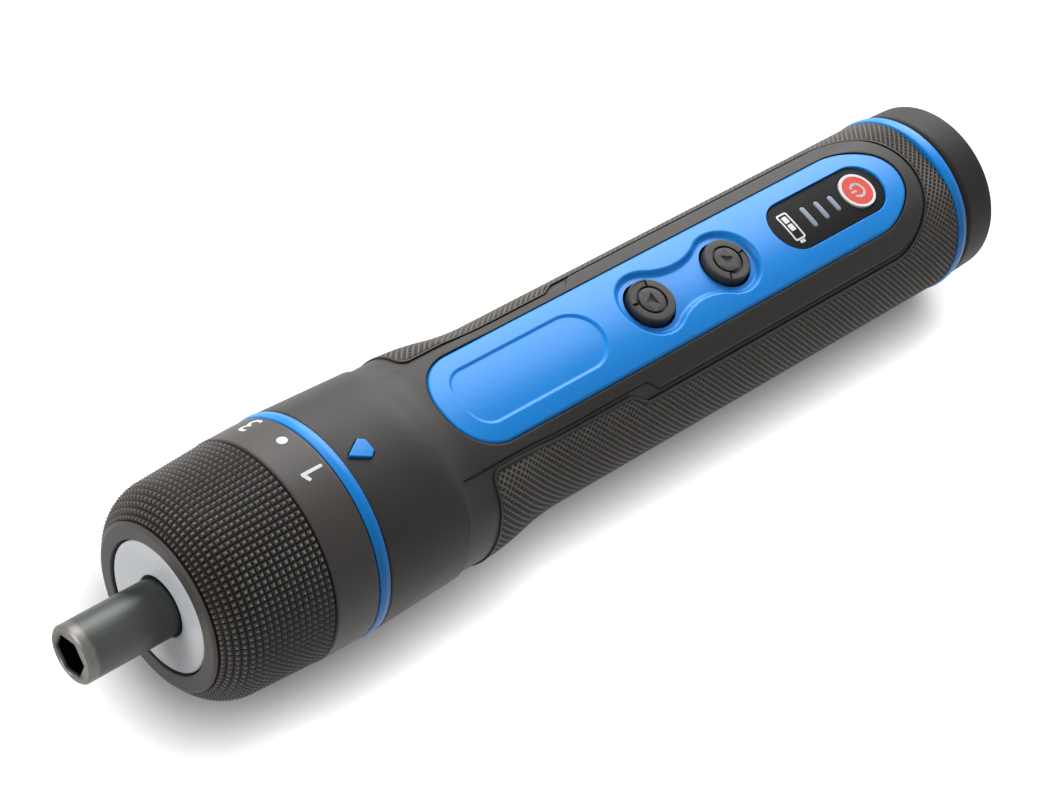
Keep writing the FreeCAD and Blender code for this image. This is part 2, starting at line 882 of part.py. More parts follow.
def bar_prism(name, index, gap, bottom, top):
    """One light bar with round ends: the bars grow longer away from the power button."""
    centre = bar_x + S.bar_pitch * index
    half = S.bar_width / 2 + gap
    straight = (S.bar_length + S.bar_growth * index - S.bar_width) / 2
    return prism(name, [
        (centre + half, -straight),
        (centre + half, straight, half, False),
        (centre, straight + half, half, False),
        (centre - half, straight),
        (centre - half, -straight, half, False),
        (centre, -straight - half, half, False),
    ], bottom, top)


def make_light_bars():
    top = S.panel_crown_height - S.pill_sink - S.bond_gap
    bottom = S.board_top + S.led_height + S.slide_gap
    node("light_bars", group("light_bar_set", [bar_prism(f"light_bar_{index}", index, 0.0, bottom, top)
                                              for index in range(3)]))


def make_button(name, x, radius, top, tab_top):
    """A round button with two tabs under the panel and a plunger above its switch."""
    tab_bottom = tab_top - S.tab_thickness
    cap = post(f"{name}_cap", x, 0.0, tab_bottom, top, radius)
    reach = radius + S.tab_reach
    tabs = block(f"{name}_tabs", (x - reach, x + reach), (-S.tab_half_width, S.tab_half_width),
                 (tab_bottom, tab_top))
    plunger = post(f"{name}_plunger", x, 0.0, switch_top + S.button_travel + S.bond_gap * 2,
                   tab_bottom + S.tab_thickness / 2, S.plunger_radius)
    node(name, join(f"{name}_solid", cap, tabs, plunger))


def make_buttons():
    tab_drop = S.slide_gap + S.bond_gap
    tab_top = crown_centre + panel_under - tab_drop
    top = S.panel_crown_height + S.button_proud
    make_button("reverse_button", reverse_x, S.button_radius, top, tab_top)
    make_button("forward_button", forward_x, S.button_radius, top, tab_top)
    plate_under = crown_centre + panel_under - S.pill_lip_thickness
    make_button("power_button", power_x, S.power_radius,
                S.panel_crown_height - S.pill_sink + S.power_proud, plate_under - tab_drop)


# Electronics and battery

board_rear = tail_ring_front + S.spigot_length + S.board_setback
cell_rear = board_rear + S.cell_setback
cell_front = screw_x - S.cell_front_gap
board_bottom = S.board_top - S.board_thickness


def make_board():
    node("control_board", block("board", (board_rear, forward_x + S.board_past_button),
                                (-S.board_half_width, S.board_half_width), (board_bottom, S.board_top)))
    switches = []
    for index, x in enumerate((power_x, reverse_x, forward_x)):
        half = S.switch_size / 2
        body = block(f"switch_body_{index}", (x - half, x + half), (-half, half),
                     (S.board_top, S.board_top + S.switch_body))
        stem = post(f"switch_stem_{index}", x, 0.0, S.board_top + S.switch_body / 2, switch_top,
                    S.switch_stem_radius)
        switches.append(join(f"switch_{index}", body, stem))
    node("button_switches", group("switch_set", switches))
    half = S.led_size / 2
    lights = []
    for index in range(3):
        centre = bar_x + S.bar_pitch * index
        lights.append(block(f"indicator_{index}", (centre - half, centre + half), (-half, half),
                            (S.board_top, S.board_top + S.led_height)))
    node("indicator_leds", group("indicator_set", lights))


def make_battery():
    can = rod("cell_can", cell_rear, cell_front, S.cell_radius, 0.0, cell_z)
    button = rod("cell_button", cell_front - S.cell_button_length, cell_front + S.cell_button_length,
                 S.cell_button_radius, 0.0, cell_z)
    node("battery_cell", join("cell", can, button))
    outer = rod("cradle_outer", cell_rear, cell_front, S.cell_radius + S.cradle_wall, 0.0, cell_z)
    inside = rod("cradle_limit", cell_rear, cell_front, shell_bore - S.bond_gap)
    half = block("cradle_half", (cell_rear, cell_front), (-shell_bore, shell_bore), (-shell_bore, cell_z))
    seat = rod("cradle_seat", cell_rear - S.slide_gap, cell_front + S.slide_gap, S.cell_radius + S.bond_gap,
               0.0, cell_z)
    node("battery_cradle", cut("cradle", overlap("cradle_solid", outer, inside, half), seat))
    half_tab = S.cell_tab_width / 2
    foot = cell_z - S.cell_radius / 2
    head = board_bottom - S.bond_gap
    front = cell_front + S.cell_button_length + S.bond_gap
    rear = cell_rear - S.bond_gap
    node("cell_front_tab", block("front_tab", (front, front + S.cell_tab_thickness), (-half_tab, half_tab),
                                 (foot, head)))
    node("cell_rear_tab", block("rear_tab", (rear - S.cell_tab_thickness, rear), (-half_tab, half_tab),
                                (foot, head)))


# Tail cap and charging socket


def port_plan(name, start, end, grow):
    """The rounded slot of the charging socket, as a solid along X, grown all round."""
    height = S.port_height / 2 + grow
    width = S.port_width / 2 + grow - height
    middle = block(f"{name}_middle", (start, end), (-width, width), (-height, height))
    sides = [rod(f"{name}_side_{side}", start, end, height, width * side) for side in (1, -1)]
    return join(f"{name}_slot", middle, *sides)


def make_tail():
    spigot = shell_bore - S.bond_gap
    spigot_front = tail_ring_front + S.spigot_length
    cavity = spigot - S.cap_wall
    body = turned("cap_body", [
        (S.cap_wall, 0.0),
        (plan_bottom, 0.0),
        (plan_bottom, S.cap_end_radius - S.cap_end_round, S.cap_end_round, True),
        (S.cap_end_round, S.cap_end_radius),
        (S.cap_length - S.bond_gap, S.cap_radius),
        (S.cap_length - S.bond_gap, spigot),
        (spigot_front, spigot),
        (spigot_front, cavity),
        (S.cap_wall, cavity),
    ])
    node("tail_cap", cut("cap_cut", body, port_plan("cap_port", -S.cap_wall, S.cap_wall * 2,
                                                    S.port_wall + S.bond_gap)))
    node("tail_trim_ring", tube("tail_ring", S.cap_length, tail_ring_front, shell_bore, S.tail_ring_radius))
    shell = port_plan("socket_outer", S.port_wall, S.port_depth, S.port_wall)
    hollow = port_plan("socket_inner", -S.port_wall, S.port_depth - S.cap_wall / 2, 0.0)
    tongue_half = S.port_width / 3
    tongue = block("socket_tongue", (S.port_wall * 3, S.port_depth - S.port_wall),
                   (-tongue_half, tongue_half), (-S.port_wall, S.port_wall))
    node("charge_socket", join("socket", cut("socket_shell", shell, hollow), tongue))
    board_front = S.port_depth + S.bond_gap + S.board_thickness
    node("charge_board", rod("charge_disc", S.port_depth + S.bond_gap, board_front, cavity - S.bond_gap))


# Motor


def make_motor():
    inner = S.motor_radius - S.motor_can_wall
    bearing = S.shaft_radius + S.run_gap
    boss_front = motor_front + S.motor_boss_length
    can = turned("can", [
        (motor_rear, inner),
        (motor_front - S.motor_can_wall, inner),
        (motor_front - S.motor_can_wall, bearing),
        (boss_front, bearing),
        (boss_front, S.motor_boss_radius),
        (motor_front, S.motor_boss_radius),
        (motor_front, S.motor_radius),
        (motor_rear, S.motor_radius),
    ])
    holes = [rod(f"can_hole_{side}", motor_front - S.motor_screw_length, boss_front,
                 S.motor_screw_radius + S.bond_gap, S.motor_screw_spread * side) for side in (1, -1)]
    node("motor_can", cut("can_cut", can, *holes))
    node("motor_end_cap", tube("end_cap", motor_cap_rear, motor_rear - S.bond_gap, bearing,
                               S.motor_radius - S.motor_can_wall / 2))
    magnet_rear = motor_rear + S.motor_cap_length
    magnet_front = magnet_rear + S.rotor_length
    outer = inner - S.bond_gap
    arcs = tube("magnet_tube", magnet_rear, magnet_front, outer - S.magnet_thickness, outer)
    slot = block("magnet_slot", (magnet_rear, magnet_front), (-S.motor_radius, S.motor_radius),
                 (-S.magnet_thickness, S.magnet_thickness))
    node("motor_magnets", cut("magnets", arcs, slot))
    core = rod("rotor_core", magnet_rear, magnet_front, S.rotor_radius)
    commutator = rod("commutator", motor_rear + S.side_gap, magnet_rear + S.side_gap, S.rotor_radius / 2)
    shaft = rod("rotor_shaft", motor_cap_rear - S.side_gap, planet_1_front, S.shaft_radius)
    node("motor_rotor", join("rotor", core, commutator, shaft))


def make_motor_plate():
    plate = tube("plate_disc", motor_front + S.bond_gap, plate_front - S.bond_gap,
                 S.motor_boss_radius + S.bond_gap, gearbox_bore - S.bond_gap)
    holes = []
    screws = []
    head_rear = plate_front - S.motor_plate_thickness / 2
    head_front = plate_front - S.bond_gap * 2
    for side in (1, -1):
        y = S.motor_screw_spread * side
        holes.append(rod(f"plate_hole_{side}", motor_rear, plate_front, S.motor_screw_radius + S.bond_gap, y))
        holes.append(rod(f"plate_sink_{side}", head_rear - S.bond_gap, plate_front,
                         S.motor_screw_head + S.bond_gap, y))
        shank = rod(f"motor_shank_{side}", head_rear - S.motor_screw_length + S.motor_plate_thickness / 2,
                    head_front, S.motor_screw_radius, y)
        head = rod(f"motor_head_{side}", head_rear, head_front, S.motor_screw_head, y)
        screws.append(join(f"motor_screw_{side}", shank, head))
    node("motor_plate", cut("plate", plate, *holes))
    node("motor_screws", group("motor_screw_pair", screws))


# Planetary gears: involute teeth, worked out from the module and the tooth counts


def polar(radius, angle):
    """A point in the plane across the spindle, with the angle taken from +Z towards +Y."""
    return Vector(0, radius * math.sin(angle), radius * math.cos(angle))


def gear_wire(teeth, root_radius, tip_radius, thickening):
    """The outline of involute teeth between two radii, with one tooth centred on +Z."""
    pitch_radius = gear_module.value * teeth / 2
    pressure = math.radians(S.pressure_angle.value)
    base_radius = pitch_radius * math.cos(pressure)
    pitch_half = math.pi / (2 * teeth) + thickening / pitch_radius + math.tan(pressure) - pressure

    def half_angle(radius):
        lean = math.acos(min(base_radius / radius, 1.0))
        return pitch_half - (math.tan(lean) - lean)

    flank_start = max(root_radius, base_radius)
    steps = 4
    radii = [flank_start + (tip_radius - flank_start) * step / steps for step in range(steps + 1)]
    edges = []
    step_angle = 2 * math.pi / teeth
    for tooth in range(teeth):
        centre = tooth * step_angle
        rising = [polar(radius, centre - half_angle(radius)) for radius in radii]
        falling = [polar(radius, centre + half_angle(radius)) for radius in reversed(radii)]
        foot_start = polar(root_radius, centre - half_angle(flank_start))
        foot_end = polar(root_radius, centre + half_angle(flank_start))
        next_foot = polar(root_radius, centre + step_angle - half_angle(flank_start))
        if root_radius < base_radius:
            edges.append(Part.makeLine(foot_start, rising[0]))
        edges.append(flank(rising))
        edges.append(Part.Arc(rising[-1], polar(tip_radius, centre), falling[0]).toShape())
        edges.append(flank(falling))
        if root_radius < base_radius:
            edges.append(Part.makeLine(falling[-1], foot_end))
        valley = polar(root_radius, centre + step_angle / 2)
        edges.append(Part.Arc(foot_end, valley, next_foot).toShape())
    return Part.Wire(edges)


def flank(points):
    curve = Part.BSplineCurve()
    curve.interpolate(points)
    return curve.toShape()


def gear_solid(teeth, rear, front, bore):
    """An outside gear along X, with a bore where one is given."""
    module = gear_module.value
    pitch_radius = module * teeth / 2
    root = pitch_radius - TOOTH_ROOT * module
    tip = pitch_radius + TOOTH_TIP * module
    wire = gear_wire(teeth, root, tip, -S.backlash.value / 4)
    solid = Part.Face(wire).extrude(X_AXIS * (front.value - rear.value))
    if bore:
        solid = solid.cut(Part.makeCylinder(bore, front.value - rear.value, Vector(), X_AXIS))
    return solid


def gear_feature(name, shape, x, offset=0.0, turn=0.0):
    """A gear at a station, set off from the spindle axis and turned about it."""
    thing = doc.addObject("Part::Feature", name)
    thing.Shape = shape
    about_axis = FreeCAD.Placement(Vector(x.value, 0, 0), FreeCAD.Rotation(X_AXIS, turn))
    thing.Placement = about_axis * FreeCAD.Placement(Vector(0, 0, offset), FreeCAD.Rotation())
    return thing


def ring_gear(name, rear, front, outer):
    """A ring with inside teeth, one gap of which is centred on +Z."""
    module = gear_module.value
    pitch_radius = module * RING_TEETH / 2
    tip = pitch_radius - RING_TIP * module
    root = pitch_radius + TOOTH_ROOT * module
    wire = gear_wire(RING_TEETH, tip, root, S.backlash.value / 4)
    length = front.value - rear.value
    hole = Part.Face(wire).extrude(X_AXIS * length)
    return gear_feature(name, Part.makeCylinder(outer.value, length, Vector(), X_AXIS).cut(hole), rear)


def make_planets(stage, rear, front):
    """Planets whose odd tooth count turns a tooth to the ring's gap and a gap to the sun's tooth."""
    shape = gear_solid(PLANET_TEETH, rear, front, S.pin_radius.value + S.run_gap.value)
    for index in range(PLANETS):
        name = f"{stage}_planet_{index + 1}"
        node(name, gear_feature(f"{name}_gear", shape, rear, orbit.value, -360.0 * index / PLANETS))


def make_pins(stage, rear, front):
    def pin(name, y, z):
        return rod(name, rear, front, S.pin_radius, y, z)

    node(f"{stage}_pins", group(f"{stage}_pin_set", round_about(f"{stage}_pin", pin, PLANETS, orbit)))


def pin_holes(name, rear, front):
    def hole(label, y, z):
        return rod(label, rear, front, S.pin_radius + S.bond_gap / 2, y, z)

    return round_about(name, hole, PLANETS, orbit)


def make_gear_train():
    pinion_bore = S.shaft_radius.value + S.bond_gap.value / 2
    pinion = gear_solid(SUN_TEETH, planet_1_rear, planet_1_front, pinion_bore)
    node("motor_pinion", gear_feature("pinion", pinion, planet_1_rear))
    make_planets("first", planet_1_rear, planet_1_front)
    make_planets("second", planet_2_rear, planet_2_front)
    make_pins("first", planet_1_rear, carrier_1_front)
    make_pins("second", planet_2_rear, carrier_2_front)
    disc_1 = rod("carrier_1_disc", carrier_1_rear, carrier_1_front, carrier_radius)
    sun_2 = gear_feature("sun_2", gear_solid(SUN_TEETH, carrier_1_rear, planet_2_front, 0.0), carrier_1_rear)
    node("first_carrier", cut("carrier_1", join("carrier_1_solid", disc_1, sun_2),
                              *pin_holes("carrier_1_hole", planet_1_rear, carrier_1_front)))
    disc_2 = rod("carrier_2_disc", carrier_2_rear, carrier_2_front, carrier_radius)
    node("output_carrier", cut("carrier_2", disc_2, tang("carrier_2_tang", S.bond_gap / 2, S.slide_gap),
                               *pin_holes("carrier_2_hole", planet_2_rear, carrier_2_front)))
    node("first_ring_gear", ring_gear("ring_1", plate_front, ring_1_front, ring_outer_radius))
    floating_radius = ring_outer_radius - S.slide_gap
    node("clutch_ring_gear", ring_gear("ring_2", ring_2_rear, ring_2_front, floating_radius))


def tang(name, gap, overrun):
    """The flatted rear end of the spindle, which drives the output carrier."""
    shaft = rod(f"{name}_round", carrier_2_rear - overrun, carrier_2_front + overrun, S.tang_radius + gap)
    flats = block(f"{name}_flats", (carrier_2_rear - overrun, carrier_2_front + overrun),
                  (-S.tang_radius * 2, S.tang_radius * 2), (-S.tang_flat - gap, S.tang_flat + gap))
    return overlap(name, shaft, flats)


# Gear case and clutch


def make_gear_case():
    bore = ring_outer_radius + S.bond_gap
    outer = gearbox_bore - S.bond_gap
    seat = S.journal_radius + S.run_gap + S.rear_bush_wall + S.bond_gap
    collar_front = case_front + S.collar_length
    body = turned("case_body", [
        (plate_front, bore),
        (case_wall_rear, bore),
        (case_wall_rear, seat),
        (case_front, seat),
        (case_front, nose_bore),
        (nose_front, nose_bore),
        (nose_front, nose_radius),
        (case_front, nose_radius),
        (case_front, collar_bore),
        (collar_front, collar_bore),
        (collar_front, collar_radius),
        (barrel_front + S.bond_gap, collar_radius),
        (barrel_front + S.bond_gap, outer),
        (plate_front, outer),
    ])

    def ball_hole(name, y, z):
        return rod(name, case_wall_rear - S.ball_radius, case_front + S.ball_radius,
                   S.ball_radius + S.bond_gap * 2, y, z)

    holes = round_about("ball_hole", ball_hole, S.ball_count, ball_circle, BALL_TURN)
    flats = [block(f"nose_flat_{side}", (case_front, nose_front), sorted_pair(side),
                   (-nose_radius, nose_radius)) for side in (1, -1)]
    node("gear_case", cut("case_cut", body, *holes, *flats))


def sorted_pair(side):
    """The span in Y that is cut away beside a flat of the nose."""
    if side > 0:
        return (nose_flat, nose_radius + S.slide_gap)
    return (-nose_radius - S.slide_gap, -nose_flat)


def make_clutch():
    def ball(name, y, z):
        sphere = doc.addObject("Part::Sphere", name)
        bind(sphere, "Radius", S.ball_radius)
        place(sphere, (case_wall_rear + case_front) / 2, y, z)
        return sphere

    node("clutch_balls", group("ball_set", round_about("ball", ball, S.ball_count, ball_circle, BALL_TURN)))
    node("clutch_washer", tube("washer", washer_rear, washer_front, nose_radius + S.washer_gap,
                                    collar_bore - S.washer_gap))
    node("clutch_nut", cut("nut", tube("nut_ring", nut_rear, nut_front, nose_radius - nose_flat,
                                       thread_radius - S.slide_gap), nut_hole()))
    make_clutch_spring()


def nut_hole():
    """The flatted hole that keeps the clutch nut from turning on the nose."""
    grown = nose_radius + S.slide_gap
    bore = rod("nut_bore", nut_rear - S.slide_gap, nut_front + S.slide_gap, grown)
    flats = block("nut_flats", (nut_rear - S.slide_gap, nut_front + S.slide_gap),
                  (-nose_flat - S.slide_gap, nose_flat + S.slide_gap), (-grown, grown))
    return overlap("nut_keyed_bore", bore, flats)


def make_clutch_spring():
    """A coil of round wire between the washer and the nut."""
    wire_radius = S.spring_wire / 2
    body = doc.addObject("PartDesign::Body", "spring_body")
    sketch = new_sketch(body, "spring_wire_section", "XZ_Plane")
    start = washer_front + wire_radius + S.bond_gap
    circle = sketch.addGeometry(Part.Circle(Vector(start.value, spring_radius.value, 0), Z_AXIS,
                                            wire_radius.value), False)
    hold(sketch, Sketcher.Constraint("DistanceX", -1, 1, circle, 3, start.value), start)
    hold(sketch, Sketcher.Constraint("DistanceY", -1, 1, circle, 3, spring_radius.value), spring_radius)
    hold(sketch, Sketcher.Constraint("Radius", circle, wire_radius.value), wire_radius)
    coil = body.newObject("PartDesign::AdditiveHelix", "spring_coil")
    coil.Profile = sketch
    coil.ReferenceAxis = (sketch, ["H_Axis"])
    coil.Mode = "height-turns-angle"
    bind(coil, "Height", S.spring_length - S.spring_wire - S.bond_gap * 2)
    bind(coil, "Turns", S.spring_turns)
    node("clutch_spring", body)


# Selector, trim ring and nose light


def make_selector():
    bearing = collar_radius + S.run_gap
    collar_end = case_front + S.collar_length + S.slide_gap
    front_wall = selector_front - S.selector_front_wall
    band_front = selector_rear + S.band_length
    length = S.selector_round_length
    drop = S.selector_round_drop
    nose_arc = (length * length + drop * drop) / (2 * drop)
    node("selector_ring", turned("selector", [
        (selector_rear, bearing),
        (collar_end, bearing),
        (collar_end, thread_radius),
        (front_wall, thread_radius),
        (front_wall, selector_mouth),
        (selector_front, selector_mouth),
        (selector_front, selector_front_radius - drop, nose_arc, False),
        (selector_front - length, selector_front_radius),
        (band_front, band_front_radius),
        (selector_rear, selector_rear_radius),
    ]))
    node("head_trim_ring", tube("head_ring", barrel_front + S.bond_gap, head_ring_front,
                                collar_radius + S.bond_gap, head_ring_radius))


def make_nose_light():
    flange_front = nose_front
    hub = nose_radius + S.bond_gap
    retainer_radius = thread_radius - S.retainer_inset
    node("nose_retainer", turned("retainer", [
        (flange_front - S.retainer_length, hub),
        (flange_front, hub),
        (flange_front, retainer_radius),
        (flange_front - S.retainer_flange, retainer_radius),
        (flange_front - S.retainer_flange, hub + S.retainer_flange),
        (flange_front - S.retainer_length, hub + S.retainer_flange),
    ]))
    board_rear_face = flange_front + S.bond_gap
    board_front = board_rear_face + S.light_board_thickness
    node("light_board", tube("light_disc", board_rear_face, board_front, S.lens_bore, light_board_radius))

    def light(name, y, z):
        half = S.led_size / 2
        span = (board_front, board_front + S.led_height)
        return block(name, span, (y - half, y + half), (z - half, z + half))

    node("light_leds", group("light_set", round_about("light", light, S.light_count, light_circle)))
    node("light_lens", turned("lens", [
        (board_rear_face, lens_radius - S.lens_skirt),
        (lens_front - S.lens_plate, lens_radius - S.lens_skirt),
        (lens_front - S.lens_plate, S.lens_bore),
        (lens_front, S.lens_bore),
        (lens_front, lens_radius),
        (board_rear_face, lens_radius),
    ]))


# Spindle


def make_spindle():
    groove_rear = case_front + S.side_gap
    groove_front = groove_rear + S.clip_thickness + S.bond_gap * 2
    groove = S.journal_radius - S.clip_groove
    shoulder = selector_front + S.nose_shoulder
    shaft = turned("spindle_shaft", [
        (carrier_2_front + S.bond_gap, 0.0),
        (spindle_tip, 0.0),
        (spindle_tip, S.spindle_radius - S.spindle_chamfer),
        (spindle_tip - S.spindle_chamfer, S.spindle_radius),
        (shoulder, S.spindle_radius),
        (shoulder, S.journal_radius),
        (groove_front, S.journal_radius),
        (groove_front, groove),
        (groove_rear, groove),
        (groove_rear, S.journal_radius),
        (carrier_2_front + S.bond_gap, S.journal_radius),
    ])
    rear_tang = overlap("spindle_tang", tang("tang_solid", 0.0, S.thrust_gap / 2),
                        rod("tang_span", carrier_2_rear, spindle_tip, S.spindle_radius))
    hex_rear = spindle_tip - S.hex_depth
    hexagon = doc.addObject("Part::Prism", "hex_cut")
    hexagon.Polygon = 6
    hexagon.Placement = FreeCAD.Placement(Vector(), FreeCAD.Rotation(Y_AXIS, 90))
    bind(hexagon, "Circumradius", S.hex_across_flats / math.sqrt(3))
    bind(hexagon, "Height", S.hex_depth + S.spindle_chamfer)
    place(hexagon, hex_rear)
    magnet_rear = hex_rear - S.magnet_length
    pocket = rod("magnet_pocket", magnet_rear, hex_rear + S.spindle_chamfer, S.magnet_radius + S.bond_gap)
    node("spindle", cut("spindle_cut", join("spindle_solid", shaft, rear_tang), hexagon, pocket))
    node("bit_magnet", rod("magnet", magnet_rear + S.bond_gap, hex_rear, S.magnet_radius))
    clip_rear = groove_rear + S.bond_gap
    ring = tube("clip_ring", clip_rear, clip_rear + S.clip_thickness, groove + S.bond_gap, S.clip_radius)
    mouth = block("clip_mouth", (clip_rear, clip_rear + S.clip_thickness), (-groove / 2, groove / 2),
                  (-S.clip_radius, plan_bottom))
    node("spindle_clip", cut("clip", ring, mouth))


def make_bushes():
    bore = S.journal_radius + S.run_gap
    node("front_bush", tube("front_bush_tube", nose_front - S.bush_length, nose_front, bore,
                            nose_bore - S.bond_gap))
    node("rear_bush", tube("rear_bush_tube", case_wall_rear, case_front, bore, bore + S.rear_bush_wall))


make_upper_shell()
make_lower_shell()
make_shell_screws()
make_grip()
make_pointer()
make_panel()
make_indicator_plate()
make_light_bars()
make_buttons()
make_board()
make_battery()
make_tail()
make_motor()
make_motor_plate()
make_gear_train()
make_gear_case()
make_clutch()
make_selector()
make_nose_light()
make_spindle()
make_bushes()
doc.recompute()

faults = [thing.Name for thing in doc.Objects if "Invalid" in thing.State or "Error" in thing.State]
for name, thing in NODES.items():
    if thing.Shape.isNull() or not thing.Shape.isValid() or not thing.Shape.Solids:
        faults.append(name)
if faults:
    raise RuntimeError(f"these pieces failed: {faults}")

os.makedirs("parts", exist_ok=True)
for name, thing in NODES.items():
    thing.Shape.exportStep(os.path.join("parts", f"{name}.step"))
    print(f"{name}: {len(thing.Shape.Solids)} solids, {thing.Shape.Volume:.1f} mm3")
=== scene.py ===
"""Looks of a straight cordless screwdriver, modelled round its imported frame.

Sizes are in millimetres, in the frame of the solids: X runs along the spindle towards the bit, and Z
points up through the control panel. Each mesh is scaled to metres when it becomes a piece.
"""

from __future__ import annotations

import json
import logging
import math
from dataclasses import dataclass, field
from enum import Enum
from typing import Any, Callable, Iterable, Sequence, Union

import bmesh
import bpy
from mathutils import Matrix, Vector

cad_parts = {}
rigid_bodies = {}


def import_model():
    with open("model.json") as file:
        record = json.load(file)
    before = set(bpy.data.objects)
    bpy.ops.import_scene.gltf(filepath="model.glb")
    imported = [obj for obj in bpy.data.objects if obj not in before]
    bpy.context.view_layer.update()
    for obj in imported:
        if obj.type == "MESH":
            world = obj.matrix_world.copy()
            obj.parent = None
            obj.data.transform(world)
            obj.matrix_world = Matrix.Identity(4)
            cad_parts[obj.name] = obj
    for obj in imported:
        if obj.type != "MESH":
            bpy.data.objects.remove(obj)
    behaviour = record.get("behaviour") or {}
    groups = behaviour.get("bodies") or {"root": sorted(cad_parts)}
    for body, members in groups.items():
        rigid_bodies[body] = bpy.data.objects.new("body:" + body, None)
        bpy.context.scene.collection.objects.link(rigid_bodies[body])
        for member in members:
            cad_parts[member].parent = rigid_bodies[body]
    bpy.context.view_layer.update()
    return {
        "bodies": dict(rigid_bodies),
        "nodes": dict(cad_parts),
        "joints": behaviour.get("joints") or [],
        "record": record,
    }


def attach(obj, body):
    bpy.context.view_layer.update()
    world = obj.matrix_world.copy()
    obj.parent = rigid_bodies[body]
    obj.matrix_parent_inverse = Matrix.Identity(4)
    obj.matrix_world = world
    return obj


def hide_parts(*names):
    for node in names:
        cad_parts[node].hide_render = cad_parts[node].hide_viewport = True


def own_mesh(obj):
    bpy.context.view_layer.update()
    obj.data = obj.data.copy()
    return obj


LOG = logging.getLogger("screwdriver")
MM = 0.001
FULL_TURN = 2 * math.pi
TOUCH = 1e-3
TIP = "tip"
LEVEL = "level"
TILT = "tilt"
PLAIN = 0.5
FEW_LAYERS = 2.0
MORE_LAYERS = 3.0
EDGE_SAMPLES = 6

BMVert = bmesh.types.BMVert
BMEdge = bmesh.types.BMEdge
BMFace = bmesh.types.BMFace
Corner = tuple[float, float, float]
Step = tuple[float, float]
Colour = tuple[float, float, float, float]
Value = Union["Wire", float, Colour]


def tint(red: float, green: float, blue: float) -> Colour:
    """Turn a display colour into the linear colour that a shader takes.

    Args:
        red: Red from 0 to 255.
        green: Green from 0 to 255.
        blue: Blue from 0 to 255.

    Returns:
        Linear red, green, blue and an alpha of 1.
    """
    linear = []
    for share in (red / 255, green / 255, blue / 255):
        linear.append(share / 12.92 if share <= 0.04045 else ((share + 0.055) / 1.055) ** 2.4)
    return (linear[0], linear[1], linear[2], 1.0)


def shade(colour: Colour, factor: float) -> Colour:
    """Multiply the light of a linear colour by a factor, and keep its alpha."""
    return (colour[0] * factor, colour[1] * factor, colour[2] * factor, colour[3])


class Wire:
    """An output socket of a material, so that shader maths reads as Python."""

    def __init__(self, graph: Graph, socket: bpy.types.NodeSocket) -> None:
        """Keep the socket and the graph that it belongs to."""
        self.graph = graph
        self.socket = socket

    def _math(self, operation: str, first: Value, second: Value) -> Wire:
        """Add a Math node for two values."""
        return self.graph.node("ShaderNodeMath", {"operation": operation}, {0: first, 1: second})

    def __add__(self, other: Value) -> Wire:
        """Add a value."""
        return self._math("ADD", self, other)

    def __sub__(self, other: Value) -> Wire:
        """Take a value away."""
        return self._math("SUBTRACT", self, other)

    def __rsub__(self, other: Value) -> Wire:
        """Take this away from a value."""
        return self._math("SUBTRACT", other, self)

    def __mul__(self, other: Value) -> Wire:
        """Multiply by a value."""
        return self._math("MULTIPLY", self, other)

    def ramp(self, low: float, high: float) -> Wire:
        """Spread the values between two limits smoothly over 0 to 1, and hold the rest at 0 or 1."""
        limits = {"Value": self, "From Min": low, "From Max": high}
        return self.graph.node("ShaderNodeMapRange", {"interpolation_type": "SMOOTHSTEP"}, limits)


